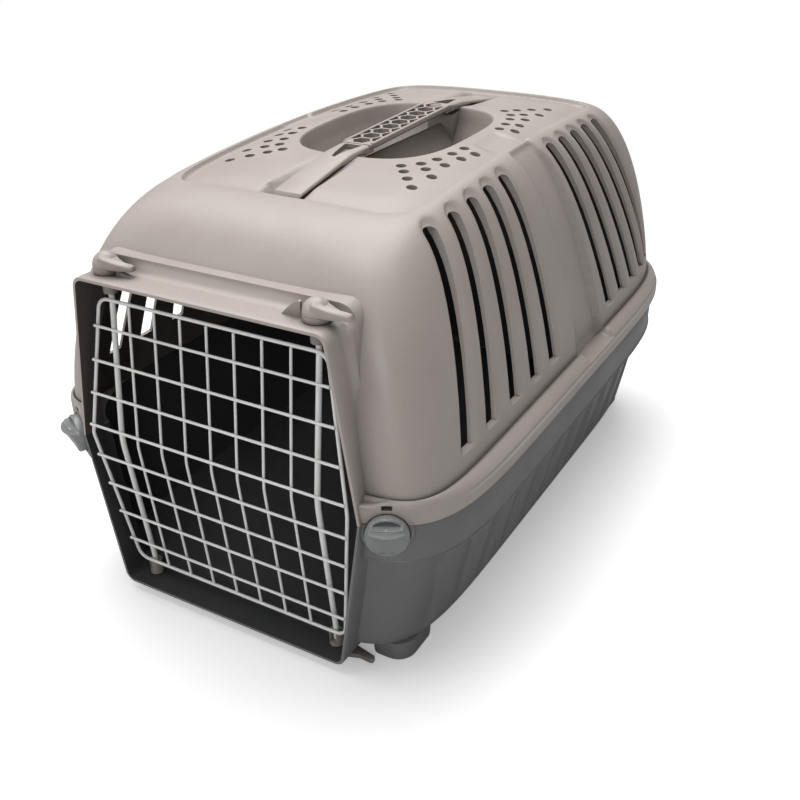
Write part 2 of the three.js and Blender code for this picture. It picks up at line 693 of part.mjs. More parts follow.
// Ridge across the knob face, with a long slope below its crest and a short one above.
function knobRidge() {
  const sections = [];
  for (let k = 0; k <= RIDGE_STEPS; k++) {
    const x = -RIDGE_HALF_LENGTH + (2 * RIDGE_HALF_LENGTH * k) / RIDGE_STEPS;
    const height = Math.sqrt(1 - (x / 14.6) ** 2);
    const limit = Math.sqrt(KNOB_R ** 2 - x * x) - 0.6;
    const section = [           // y before clamping to the knob, z
      [-10.8, -4.4], [9.8, -4.4], [9.8, 5.4 * height],
      [5.9, 8.6 * height], [-2, 7 * height], [-10.8, 0.6 * height],
    ];
    sections.push(section.map(([y, z]) => [x, THREE.MathUtils.clamp(y, -limit, limit), z]));
  }
  return toSolid(loft(sections));
}

function latchKnob(side) {
  return atLatch(fromSolid(turned(KNOB_PROFILE, 24).add(knobRidge())), side);
}

// Plate between the knob and the floor of its recess.
function latchCam(side) {
  const plate = toSolid(extrude(rounded(CAM, 3), 2.2).translate(0, 0, -10.5));
  return atLatch(fromSolid(plate.subtract(disc(3.95, -14, -7, 12))), side);
}

// ---------------------------------------------------------------- assembly
const carrier = new THREE.Group();

function add(name, geometry, finish, parent = carrier) {
  const mesh = new THREE.Mesh(geometry, new THREE.MeshStandardMaterial(finish));
  mesh.name = name;
  parent.add(mesh);
}

add('base_shell', baseShell(), FINISHES.base);
add('top_shell', topShell(), FINISHES.top);
add('carry_handle', carryHandle(), FINISHES.top);

for (const [name, side, onTop, degrees] of LEVERS) {
  const pivot = new THREE.Group();
  pivot.position.set(side * DOOR_AXIS_X, DOOR_AXIS_Y, onTop ? COLLAR_TOP_Z : COLLAR_BOTTOM_Z);
  pivot.rotation.z = THREE.MathUtils.degToRad(degrees);
  carrier.add(pivot);
  add(`door_lever_${name}`, doorLever(onTop), FINISHES.top, pivot);
  add(`pin_cup_${name}`, pinCup(onTop), FINISHES.cup, pivot);
}

add('door_frame_wire', doorFrame(), FINISHES.wire);
for (let i = 1; i <= UPRIGHTS; i++) add(`door_upright_${i}`, doorUpright(i), FINISHES.wire);
for (let i = 1; i <= CROSSBARS; i++) add(`door_crossbar_${i}`, doorCrossbar(i), FINISHES.wire);

const NAMED_SIDES = [['left', -1], ['right', 1]];
for (const [name, side] of NAMED_SIDES) add(`door_rod_${name}`, doorRod(side), FINISHES.wire);
for (const [name, side] of NAMED_SIDES) {
  add(`latch_knob_${name}`, latchKnob(side), FINISHES.knob);
  add(`latch_cam_${name}`, latchCam(side), FINISHES.cam);
}

export default carrier;
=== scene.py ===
"""A two-part plastic carrier: taupe top shell with a carry handle, grey base shell, wire door
in a six-sided collar, and two round latches at the front corners.

It stands on z = 0 with +Z up. The door faces -Y and x runs across the carrier, so left is -X.
Lengths are in millimetres unless a comment says otherwise; meshes are written in metres.
"""

from math import acos, cos, pi, radians, sin, sqrt, tan

import bpy
import numpy as np
from mathutils import Matrix, Vector


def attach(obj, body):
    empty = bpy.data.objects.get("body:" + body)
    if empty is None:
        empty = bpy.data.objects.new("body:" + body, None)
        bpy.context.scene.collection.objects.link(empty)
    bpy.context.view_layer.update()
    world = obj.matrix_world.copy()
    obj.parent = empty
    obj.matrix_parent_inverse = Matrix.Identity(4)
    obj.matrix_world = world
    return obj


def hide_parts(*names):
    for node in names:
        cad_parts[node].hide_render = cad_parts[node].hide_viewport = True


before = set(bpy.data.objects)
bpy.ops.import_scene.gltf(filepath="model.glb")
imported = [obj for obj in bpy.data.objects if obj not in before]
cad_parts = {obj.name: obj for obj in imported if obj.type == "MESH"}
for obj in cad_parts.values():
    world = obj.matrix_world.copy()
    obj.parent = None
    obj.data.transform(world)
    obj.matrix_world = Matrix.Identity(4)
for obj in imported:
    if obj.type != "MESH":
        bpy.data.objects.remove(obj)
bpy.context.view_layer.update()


MM = 0.001
SIDES = (-1, 1)  # left and right, or front and rear
scene = bpy.context.scene


# ------------------------------------------------------------------ shader tools
def node(tree, kind, inputs=None, **settings):
    """Add a shader node; each input is either linked to a socket or set to a value."""
    added = tree.nodes.new("ShaderNode" + kind)
    for key, value in settings.items():
        setattr(added, key, value)
    for key, value in (inputs or {}).items():
        if isinstance(value, bpy.types.NodeSocket):
            tree.links.new(value, added.inputs[key])
        else:
            added.inputs[key].default_value = value
    return added


def map_range(tree, value, source, target, **settings):
    """Map the source (low, high) onto the target (low, high)."""
    inputs = dict(enumerate((value, *source, *target)))
    return node(tree, "MapRange", inputs, **settings).outputs[0]


def noise(tree, vector, **inputs):
    return node(tree, "TexNoise", {"Vector": vector, **inputs}).outputs["Fac"]


def scaled(tree, colour, factor):
    inputs = {0: colour, "Scale": factor}
    return node(tree, "VectorMath", inputs, operation="SCALE").outputs[0]


def empty_material(name):
    material = bpy.data.materials.new(name)
    material.use_nodes = True
    material.node_tree.nodes.clear()
    return material, material.node_tree


# ------------------------------------------------------------------ plastics
def linear(levels):
    """Linear colour of three sRGB levels, each 0 to 255."""
    level = np.array(levels) / 255.0
    return np.where(level <= 0.04045, level / 12.92, ((level + 0.055) / 1.055) ** 2.4)


def plastic(name, base, dark, light, roughness, bump=0.1, grain=2600, bevel=0.5, dim=1.0,
            transmission=0.0, coat=0.0, specular=0.5, wear=0.25, hollow=0.0):
    """Moulded plastic: mottled colour, drifting roughness, fine grain, edges that catch light.

    base, dark and light are sRGB levels and dim scales all three; the darker copies of a plastic
    use it to paint shade. bump and grain are the strength and scale of the grain, bevel is in mm,
    wear lightens the edges and hollow darkens the recesses with painted shade.
    """
    material, tree = empty_material(name)
    base, dark, light = (linear(levels) * dim for levels in (base, dark, light))
    place_in_object = node(tree, "TexCoord").outputs["Object"]

    mottle = noise(tree, place_in_object, Scale=9.0, Detail=5.0, Roughness=0.6)
    ramp = node(tree, "ValToRGB", {"Fac": mottle})
    stops = ramp.color_ramp.elements
    stops.new(0.5)
    for stop, position, colour in zip(stops, (0.3, 0.5, 0.72), (dark, base, light)):
        stop.position = position
        stop.color = (*colour, 1)
    # fine flecks of the moulding compound
    fleck = noise(tree, place_in_object, Scale=900.0, Detail=2.0)
    fleck = map_range(tree, fleck, source=(0.3, 0.7), target=(0.965, 1.035))
    colour = scaled(tree, ramp.outputs["Color"], fleck)
    if wear:
        # edges rubbed a little lighter
        edge = node(tree, "NewGeometry").outputs["Pointiness"]
        edge = map_range(tree, edge, source=(0.53, 0.62), target=(0.0, wear))
        rubbed = (*np.clip(light * 1.35, 0, 1), 1)
        # 6 and 7 are the colour inputs of a Mix node, and 2 its colour output
        colour = node(tree, "Mix", {0: edge, 6: colour, 7: rubbed}, data_type="RGBA").outputs[2]
    if hollow:
        # painted shade in the recesses: ambient occlusion darkens the colour; the distance is in
        # metres
        open_air = node(tree, "AmbientOcclusion", {"Distance": 0.06}, samples=6).outputs["AO"]
        shade = map_range(tree, open_air, source=(0.25, 0.92), target=(1.0 - hollow, 1.0))
        colour = scaled(tree, colour, shade)

    drift = noise(tree, place_in_object, Scale=22.0, Detail=6.0)
    drift = map_range(tree, drift, source=(0.3, 0.7), target=(roughness - 0.05, roughness + 0.07))

    rounded = node(tree, "Bevel", {"Radius": bevel * MM}, samples=4).outputs[0]
    height = noise(tree, place_in_object, Scale=grain, Detail=3.0)
    grained = node(tree, "Bump", {"Strength": bump, "Distance": 0.0003, "Height": height,
                                  "Normal": rounded}).outputs[0]
    surface = {"Base Color": colour, "Roughness": drift, "Normal": grained,
               "Specular IOR Level": specular, "Transmission Weight": transmission}
    if coat:
        surface.update({"Coat Weight": coat, "Coat Roughness": 0.25})
    shader = node(tree, "BsdfPrincipled", surface)
    node(tree, "OutputMaterial", {0: shader.outputs[0]})
    return material


# hollow paints shade into the recesses of the taupe
TAUPE = plastic("taupe_plastic", (181, 171, 164.5), (176, 166, 159), (186, 176, 170),
                roughness=0.42, hollow=0.68)
# darker copy of the taupe: painted shade on the faces inside the top shell and its doorway
TAUPE_SHADED = plastic("taupe_plastic_painted_shade", (182, 170, 163), (172, 160, 153), (187, 176, 169),
                   roughness=0.6, dim=0.16, wear=0)
GREY = plastic("grey_plastic", (120, 120, 121), (115, 115, 116), (125, 125, 126),
               roughness=0.42, specular=0.4, wear=0.15)
# darker copy of the grey: painted shade on the faces inside the base shell and its doorway
GREY_SHADED = plastic("grey_plastic_painted_shade", (96, 97, 100), (90, 91, 94), (101, 102, 105),
                  roughness=0.6, dim=0.3, wear=0)
KNOB = plastic("knob_plastic", (152, 154, 154), (144, 146, 146), (161, 163, 163),
               roughness=0.24, bump=0.04, grain=2000, bevel=0.35, transmission=0.18, coat=0.3)
CAM = plastic("cam_plastic", (120, 120, 120), (112, 112, 112), (128, 128, 128),
              roughness=0.5, bump=0.08, grain=2000, bevel=0.2)
CUP = plastic("cup_plastic", (138, 130, 121), (130, 122, 113), (147, 139, 130),
              roughness=0.48, bevel=0.3)
# darker copy of the taupe: painted shade in the grip's cells and between the prongs of the feet
CELL_SHADED = plastic("taupe_plastic_cells_painted_shade", (181, 171, 164), (172, 162, 156), (186, 177, 170),
               roughness=0.6, dim=0.55, wear=0)
WIRE = plastic("coated_wire", (240, 240, 238), (234, 234, 232), (245, 245, 244),
               roughness=0.3, bump=0.05, grain=1500, bevel=0.1, coat=0.35, wear=0)


# ------------------------------------------------------------------ object tools
# A part is a pair (vertices, faces) in millimetres.
def make(name, part, *materials):
    verts, faces = part
    mesh = bpy.data.meshes.new(name)
    face_lists = [list(map(int, face)) for face in faces]
    mesh.from_pydata((np.asarray(verts, float) * MM).tolist(), [], face_lists)
    mesh.update()
    obj = bpy.data.objects.new(name, mesh)
    scene.collection.objects.link(obj)
    for material in materials:
        mesh.materials.append(material)
    return obj


def boolean(obj, tool, operation):
    """obj becomes obj (operation) tool; the tool is thrown away."""
    modifier = obj.modifiers.new("cut", "BOOLEAN")
    modifier.operation = operation
    modifier.solver = "MANIFOLD"
    modifier.material_mode = "TRANSFER"
    modifier.object = tool
    bpy.context.view_layer.update()
    depsgraph = bpy.context.evaluated_depsgraph_get()
    mesh = bpy.data.meshes.new_from_object(obj.evaluated_get(depsgraph))
    old_mesh = obj.data
    obj.modifiers.clear()
    obj.data = mesh
    bpy.data.meshes.remove(old_mesh)
    bpy.data.objects.remove(tool)
    if len(mesh.polygons) == 0:
        raise RuntimeError(f"boolean left nothing of {obj.name}")


def add(obj, part, material):
    boolean(obj, make("added", part, material), "UNION")


def cut(obj, part, material):
    """Cut the part out of obj; the cut faces take the material."""
    boolean(obj, make("cut", part, material), "DIFFERENCE")


def take_part(obj):
    """Remove the object and return its mesh as a part."""
    verts = np.array([vertex.co for vertex in obj.data.vertices]) / MM
    faces = [tuple(polygon.vertices) for polygon in obj.data.polygons]
    bpy.data.objects.remove(obj)
    return verts, faces


def smooth(obj, angle=33):
    obj.data.shade_smooth()
    obj.data.set_sharp_from_angle(angle=radians(angle))
    return obj


def register(obj, body, replaced):
    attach(obj, body)
    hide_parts(replaced)


def piece(name, part, body, material, replaced, angle=33):
    register(smooth(make(name, part, material), angle), body, replaced)


# ------------------------------------------------------------------ curve tools
def lerp(start, end, share):
    return start + (end - start) * share


def mix(first, second, share):
    return tuple(lerp(start, end, share) for start, end in zip(first, second))


def ease(low, high, x):
    """Smooth step from 0 at low to 1 at high; low may be the larger."""
    share = np.clip((np.asarray(x, float) - low) / (high - low), 0, 1)
    return share * share * (3 - 2 * share)


def lengths_along(points):
    steps = np.linalg.norm(np.diff(points, axis=0), axis=1)
    return np.concatenate([[0], np.cumsum(steps)])


def fillet(points, radii, steps=6, closed=False):
    """A polyline in any dimension with rounded corners; radii is one value or one per point."""
    points = [np.asarray(point, float) for point in points]
    count = len(points)
    rounded = []
    for i, radius in enumerate(np.broadcast_to(radii, count)):
        corner = points[i]
        if (not closed and i in (0, count - 1)) or radius < 1e-6:
            rounded.append(corner)
            continue
        back = points[i - 1] - corner
        ahead = points[(i + 1) % count] - corner
        shorter = min(np.linalg.norm(back), np.linalg.norm(ahead))
        back = back / np.linalg.norm(back)
        ahead = ahead / np.linalg.norm(ahead)
        half = acos(max(-1, min(1, float(back @ ahead)))) / 2
        if abs(half - pi / 2) < 1e-3:
            rounded.append(corner)
            continue
        reach = min(radius / tan(half), 0.49 * shorter)
        radius = reach * tan(half)
        middle = (back + ahead) / np.linalg.norm(back + ahead)
        centre = corner + middle * (radius / sin(half))
        start = corner + back * reach - centre
        end = corner + ahead * reach - centre
        cosine = float(start @ end) / (np.linalg.norm(start) * np.linalg.norm(end))
        sweep = acos(max(-1, min(1, cosine)))
        for k in range(steps + 1):
            share = k / steps
            spoke = sin((1 - share) * sweep) * start + sin(share * sweep) * end
            rounded.append(centre + spoke / sin(sweep))
    return np.array(rounded)


def resample(points, step, closed=False):
    """Evenly spaced points along a polyline, about one step apart."""
    points = np.asarray(points, float)
    if closed:
        points = np.vstack([points, points[:1]])
    along = lengths_along(points)
    stations = np.linspace(0, along[-1], max(2, int(round(along[-1] / step))) + 1)
    even = np.stack([np.interp(stations, along, column) for column in points.T], 1)
    return even[:-1] if closed else even


def normals_of(points):
    """Outward unit normals at the points of a closed outline in a plane."""
    after, before = np.roll(points, -1, 0), np.roll(points, 1, 0)
    along = after - before
    normals = np.stack([along[:, 1], -along[:, 0]], 1)
    normals /= np.maximum(np.linalg.norm(normals, axis=1), 1e-9)[:, None]
    doubled_area = np.sum(points[:, 0] * after[:, 1] - after[:, 0] * points[:, 1])
    return -normals if doubled_area < 0 else normals


def rectangle(x0, x1, y0, y1):
    return [(x0, y0), (x1, y0), (x1, y1), (x0, y1)]


def ring_at(points, level, axis="z"):
    """Points of a plane in space: (x, y), (x, z) or (y, z) at a level along z, y or x."""
    return np.insert(np.asarray(points, float), "xyz".index(axis), level, axis=1)


# ------------------------------------------------------------------ part tools
def outward(verts, faces):
    """The part, with its faces reversed if they enclose a negative volume."""
    corners = np.array([(face[0], face[k], face[k + 1])
                        for face in faces for k in range(1, len(face) - 1)])
    first, second, third = (verts[corners[:, k]] for k in range(3))
    if np.einsum("ij,ij->i", first, np.cross(second, third)).sum() < 0:
        faces = [face[::-1] for face in faces]
    return verts, faces


def loft(rings):
    """Closed skin over equal rings; each end is a fan to the middle of its ring."""
    rings = np.asarray(rings, float)
    rows, sides = rings.shape[:2]
    i = np.arange(sides)
    j = (i + 1) % sides
    faces = []
    for row in range(rows - 1):
        near, far = row * sides, (row + 1) * sides
        faces += map(tuple, np.stack([near + i, near + j, far + j, far + i], 1))
    verts = np.vstack([rings.reshape(-1, 3), rings[0].mean(0), rings[-1].mean(0)])
    tip, last = rows * sides, (rows - 1) * sides
    faces += [(tip, b, a) for a, b in zip(i, j)]
    faces += [(tip + 1, last + a, last + b) for a, b in zip(i, j)]
    return outward(verts, faces)


def join(parts):
    verts, faces, offset = [], [], 0
    for part_verts, part_faces in parts:
        verts.append(np.asarray(part_verts))
        faces += [tuple(int(index) + offset for index in face) for face in part_faces]
        offset += len(part_verts)
    return np.vstack(verts), faces


def lathe(profile, sides=48):
    """Profile of (radius, z) turned about z; end radii may be zero."""
    angle = 2 * pi * np.arange(sides) / sides
    circle = np.stack([np.cos(angle), np.sin(angle)], 1)
    return loft([ring_at(circle * max(radius, 1e-3), z) for radius, z in profile])


def disc(radius, low, high, sides=48):
    return lathe([(radius, low), (radius, high)], sides)


def prism(points, low, high, axis="z"):
    return loft([ring_at(points, level, axis) for level in (low, high)])


def soft_prism(points, low, high, top_radius, bottom_radius=0.0, steps=4, top=None):
    """Prism along z with rounded top and bottom edges; top(x, y) may give its upper surface."""
    points = np.asarray(points, float)
    normals = normals_of(points)
    angles = np.linspace(0, pi / 2, steps + 1)
    rows = [(0.0, low)]  # inset and z
    if bottom_radius:
        rows = [(bottom_radius * (1 - sin(a)), low + bottom_radius * (1 - cos(a)))
                for a in angles]
    if top_radius:
        rows += [(top_radius * (1 - cos(a)), high - top_radius * (1 - sin(a))) for a in angles]
    else:
        rows.append((0.0, high))
    rings = []
    for inset, z in rows:
        shrunk = points - normals * inset
        if top is not None:
            z = low + (z - low) * (top(shrunk[:, 0], shrunk[:, 1]) - low) / (high - low)
        rings.append(ring_at(shrunk, z))
    return loft(rings)


# Swelling of a wire where another is welded to it: extra radius and spread.
WELD_SWELL, WELD_SPREAD = 0.13, 1.6


def tube(path, radius, sides=14, closed=False, welds=()):
    """Round wire along a path. An open end has a rim and a small dish inside it."""
    path = np.asarray(path, float)
    count = len(path)
    if closed:
        tangents = np.roll(path, -1, 0) - np.roll(path, 1, 0)
    else:
        tangents = np.vstack([path[1:], path[-1:]]) - np.vstack([path[:1], path[:-1]])
    tangents /= np.linalg.norm(tangents, axis=1)[:, None]
    radii = np.full(count, float(radius))
    for weld in welds:
        squared = ((path - np.asarray(weld)) ** 2).sum(1)
        radii += WELD_SWELL * np.exp(-squared / WELD_SPREAD**2)
    # a sideways direction carried along the path without twisting
    side = np.array([0, 1.0, 0]) if abs(tangents[0][1]) < 0.9 else np.array([1.0, 0, 0])
    sideways = []
    for tangent in tangents:
        side = side - tangent * (side @ tangent)
        side /= np.linalg.norm(side)
        sideways.append(side)
    angle = (2 * pi * (np.arange(sides) + 0.5) / sides)[:, None]

    def ring(centre, k, size):
        across = np.cross(tangents[k], sideways[k])
        return centre + size * (np.cos(angle) * sideways[k] + np.sin(angle) * across)

    centres = path.copy()
    if not closed:
        centres[0] += tangents[0] * radii[0]
        centres[-1] -= tangents[-1] * radii[-1]
    rings = [ring(centres[k], k, radii[k]) for k in range(count)]
    if not closed:
        dishes = []
        for k, inwards in ((0, tangents[0]), (-1, -tangents[-1])):
            dishes.append([ring(path[k] + inwards * radii[k] * (1 - sin(a)), k, radii[k] * sin(a))
                           for a in (np.arange(3) + 0.6) / 3.2 * pi / 2])
        return loft(dishes[0] + rings + dishes[1][::-1])

    # match the start of the last ring to the first
    twist = int(np.argmin([np.linalg.norm(np.roll(rings[0], -k, 0) - rings[-1], axis=1).sum()
                           for k in range(sides)]))
    faces = []
    for i in range(count):
        near, far = i * sides, (i + 1) % count * sides
        offset = twist if far == 0 else 0
        for k in range(sides):
            faces.append((near + k, near + (k + 1) % sides,
                          far + (k + 1 + offset) % sides, far + (k + offset) % sides))
    return outward(np.array(rings).reshape(-1, 3), faces)


def place(part, matrix):
    matrix = np.array(matrix, float)
    return np.asarray(part[0]) @ matrix[:3, :3].T + matrix[:3, 3], part[1]


def shift(part, x=0, y=0, z=0):
    return np.asarray(part[0]) + np.array([x, y, z]), part[1]


# ------------------------------------------------------------------ shared sizes
SPLIT_Z, GAP = 139.7, 0.15  # the parting plane, and half the gap between the shells
TOP_EDGE, BASE_EDGE = SPLIT_Z + GAP, SPLIT_Z - GAP
WALL = 2.6
SIDE_WALL = WALL + 2.4  # the flanks are thicker, measured along x
WIDEST_Y = 1.0  # where the front and rear halves of an outline meet
MID_Y = 2.65  # middle of the roof, handle and roof recess
PIVOT_X, PIVOT_Y = 88.5, -255.5  # the door's pivot rods

# Door collar: a six-sided sleeve, widest at the parting plane.
COLLAR_TOP_Z, COLLAR_BOTTOM_Z = 273.9, 7.4
COLLAR_TOP_X, COLLAR_MIDDLE_X, COLLAR_BOTTOM_X = 105.4, 125.0, 105.1
COLLAR_RADIUS = 9.0
COLLAR_WALL = 2.2
COLLAR_Y = [  # stations from the front edge back into the shell
    -273.0, -272.5, -268, -264, -261, -258.5, -257, -255.5, -254.5, -253.5, -252.5, -251.2,
    -250, -249, -248, -247, -246, -245, -244.2, -243.7, -242, -236, -227, -222, -214]

# Shell latches, at the front corners.
LATCH_X, LATCH_Y, LATCH_Z = 142.2, -267.6, 133.2
LATCH_TURN = radians(28.0)  # how far the axis turns from straight ahead towards the side

# Grip of the carry handle: its top at MID_Y, and its rise per mm towards the rear.
GRIP_Z, GRIP_TILT = 333.1, 0.034


def latch_matrix(side):
    """Latch frame: x along the shoulder, y up, z outwards along the latch's axis."""
    along, across = cos(LATCH_TURN), sin(LATCH_TURN)
    return np.array([[along, 0, side * across, side * LATCH_X],
                     [side * across, 0, -along, LATCH_Y],
                     [0, 1, 0, LATCH_Z],
                     [0, 0, 0, 1.0]])


def grip_end_z(end):
    """Height of the grip's top near its front (-1) or rear (1) end."""
    return GRIP_Z + end * GRIP_TILT * 66


# ------------------------------------------------------------------ shell outlines
# A shape is (half width, front y, rear y, squareness of the front half, of the rear half).
def point_shares(straight, corner, knee=0.60):
    """Spacing of points along a quadrant: denser beyond the knee, towards the x = 0 end."""
    return np.concatenate([np.linspace(0, knee, straight, endpoint=False),
                           np.linspace(knee, 1, corner + 1)])


STRAIGHT_POINTS, CORNER_POINTS = ((104, 36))
FINE = point_shares(STRAIGHT_POINTS, CORNER_POINTS)
COARSE = point_shares(STRAIGHT_POINTS // 2, CORNER_POINTS // 2)


def quadrant(half_x, half_y, power, shares):
    """Quarter of a superellipse, from the x axis to the y axis."""
    angle = np.linspace(0, pi / 2, 500)
    radius = ((np.cos(angle) / half_x) ** power + (np.sin(angle) / half_y) ** power)
    radius = radius ** (-1 / power)
    x, y = radius * np.cos(angle), radius * np.sin(angle)
    x[-1], y[0] = 0.0, 0.0
    along = lengths_along(np.stack([x, y], 1))
    along /= along[-1]
    return np.interp(shares, along, x), np.interp(shares, along, y)


def outline(shape, shares):
    half, front, rear, front_power, rear_power = shape
    rear_x, rear_y = quadrant(half, rear - WIDEST_Y, rear_power, shares)
    front_x, front_y = quadrant(half, WIDEST_Y - front, front_power, shares)
    rear_y, front_y = WIDEST_Y + rear_y, WIDEST_Y - front_y
    x = np.concatenate([rear_x[:-1], -rear_x[:0:-1], -front_x[:-1], front_x[:0:-1]])
    y = np.concatenate([rear_y[:-1], rear_y[:0:-1], front_y[:-1], front_y[:0:-1]])
    return x, y


def inset_shape(shape, side, end):
    """The shape drawn in by one distance at its sides and another at its ends."""
    return (shape[0] - side, shape[1] + end, shape[2] - end, shape[3], shape[4])


def pushed_ring(x, y, z, depth=0.0):
    """Ring of points pushed in along the outline's normals."""
    normals = normals_of(np.stack([x, y], 1))
    z = np.broadcast_to(z, x.shape)
    return np.stack([x - normals[:, 0] * depth, y - normals[:, 1] * depth, z], 1)


# ------------------------------------------------------------------ top shell surfaces
RIM = (182.7, -268.0, 272.7, 7.0, 5.57)
FLANK_FOOT = (168.6, -260.0, 268.3, 11.3, 6.3)
ROOF_EDGE = (105.0, -174.0, 184.0, 9.0, 14.0)
CREASE_Z = 157.0  # foot of the flank
LIP = 0.4  # how far the roof's edge stands above the roof
CEILING = 3.0  # thickness of the roof before the wall is added
# Powers that curve the flank: its rise, and how soon each part of the outline draws in.
RISE_POWER, SIDE_POWER, FRONT_POWER, SQUARE_POWER = 2.55, 1.35, 2.5, 1.3
FLANK_ROWS = 78
RECESS_X, RECESS_Y, RECESS_LEVEL = 66.5, 87.5, 330.0  # half sizes of the roof recess, its level

# Rim: upright below, rolling over to meet the flank in a crisp valley.
RIM_BAND = [  # share of the way from the rim to the foot of the flank, height
    (0.03, TOP_EDGE), (0.0, TOP_EDGE + 0.7), (0.0, 143.5), (0.0, 147.0), (0.015, 148.3),
    (0.05, 149.0), (0.11, 149.5), (0.135, 149.9), (0.125, 150.5), (0.14, 151.3), (0.18, 152.4),
    (0.25, 153.8), (0.34, 155.1), (0.45, 156.3), (0.57, 157.2), (0.69, 157.7), (0.80, 157.7),
    (0.88, 157.2), (0.94, 156.5), (0.98, 155.9)]
ROOF_LIP = [  # distance in from the roof's edge, height above the roof
    (0.0, LIP), (0.7, LIP - 0.15), (1.4, -0.7), (2.1, -2.1), (3.0, -2.9), (4.5, -3.0),
    (8, -2.6), (14, -1.4), (20, -0.4), (26, 0.0)]
VENT_Z = 170.0  # foot of every vent
VENTS = [  # y at the foot, y at the top, z at the top
    (-195.5, -160.3, 307.7), (-158, -129.3, 309.3), (-117.5, -100.7, 311.6),
    (-79, -74.3, 313.2), (-42, -48, 314.5), (90.5, 44, 317.3), (124.8, 70.5, 317),
    (158, 97, 316.5), (189.5, 123.5, 316), (217, 149.5, 315.1)]
ROOF_HOLES = [  # x and distance from MID_Y, each repeated in all four quarters
    (81, 124), (70.6, 112), (61.4, 101), (53.8, 91.5), (83.5, 99), (73.2, 89), (64.6, 80.5),
    (81, 73.8), (70.4, 66.2), (74.3, 48.8), (76.3, 32.3), (84.5, 54), (88, 37)]


def roof(x, y):
    return 330.23 - 6.81 * ((y - 45.74) / 168) ** 2 - 4.25 * (np.abs(x) / 102) ** 3


def flank_shape(turn):
    """Shape of the flank part of the way up: 0 at the crease, pi / 2 at the roof's edge."""
    drawn = 1 - cos(turn)
    side, front, square = drawn**SIDE_POWER, drawn**FRONT_POWER, drawn**SQUARE_POWER
    shares = (side, front, side, square, square)
    return tuple(lerp(*pair) for pair in zip(FLANK_FOOT, ROOF_EDGE, shares))


def on_side(x):
    """0 on the front and rear walls, 1 on the flanks."""
    return ease(86, 96, np.abs(x))


def strap_channel(y, z):
    """0..1: how far inside the strap channel a point on the flank is."""
    down = np.clip((318 - z) / (318 - 150), 0, 1)
    middle = MID_Y + 32.0 * down**0.8
    half = 20.0 + 9.0 * down
    return 1 - ease(half - 2.8, half + 2.8, np.abs(y - middle))


def flank_depth(x, y, z, along, vent_end):
    """How far vents and strap channel push a ring in; along is measured up the flank."""
    depth = np.zeros_like(x)
    beyond = np.maximum(along - (vent_end - 9.5), 0)
    for foot_y, top_y, top_z in VENTS:
        off = y - (foot_y + (top_y - foot_y) * (z - VENT_Z) / (top_z - VENT_Z))
        depth = np.maximum(depth, 3.5 * (1 - ease(5.0, 12.0, np.sqrt(off * off + beyond * beyond))))
    depth = depth * (z > VENT_Z - 0.01)
    return np.maximum(depth, 5.6 * strap_channel(y, z)) * on_side(x)


def trough_depth(reach):
    """Depth of the trough for the handle's feet, by distance from MID_Y."""
    return 8.0 * np.clip((reach - 90) / 76, 0, 1) ** 0.8


def trough_floor(end, reach):
    return float(roof(0.0, MID_Y + end * reach)) - trough_depth(reach)


def roof_with_trough(x, y):
    reach = np.abs(y - MID_Y)
    trough = (1 - ease(13.2, 21.0, np.abs(x))) * trough_depth(reach)
    return roof(x, y) - trough * (1 - ease(168.0, 170.5, reach))


def recess_shape(scale=1.0, grow=0.0, square=3.0):
    half_x, half_y = (RECESS_X + grow) * scale, (RECESS_Y + grow) * scale
    return (half_x, MID_Y - half_y, MID_Y + half_y, square, square)


def recess_floor(x, y, scale):
    """Height of the roof recess; scale is 0 in the middle and 1 at its rim."""
    level = lerp(roof(x, y), RECESS_LEVEL, ease(0.985, 0.6, scale))
    return level - 48.0 * (1 - scale**3.4) ** 0.7


def flank_rows():
    turns = np.linspace(0, pi / 2, 600)
    z = CREASE_Z + (326.0 - CREASE_Z) * np.sin(turns) ** RISE_POWER
    x = lerp(FLANK_FOOT[0], ROOF_EDGE[0], (1 - np.cos(turns)) ** SIDE_POWER)
    travel = lengths_along(np.stack([z, x], 1))
    total = travel[-1]
    vent_end = np.interp(112.8, x[::-1], travel[::-1])
    vent_foot = np.interp(VENT_Z, z, turns)
    stations = np.interp(np.linspace(0, total, FLANK_ROWS), travel, turns)
    # two rows hug the level floor at the foot of every vent
    stations = [turn for turn in stations if abs(turn - vent_foot) > 0.004]
    stations = sorted(stations + [vent_foot - 1e-4, vent_foot + 1e-4])
    rows = []
    for turn in stations[:-1]:
        x, y = outline(flank_shape(turn), FINE)
        z = CREASE_Z + (roof(x, y) + LIP - CREASE_Z) * sin(turn) ** RISE_POWER
        along = np.interp(turn, turns, travel)
        below = 0 if turn >= vent_foot else 1
        depth = flank_depth(x, y, z - below, along, vent_end)
        rows.append(pushed_ring(x, y, z, depth * (1 - ease(total - 12, total - 1, along))))
    return rows


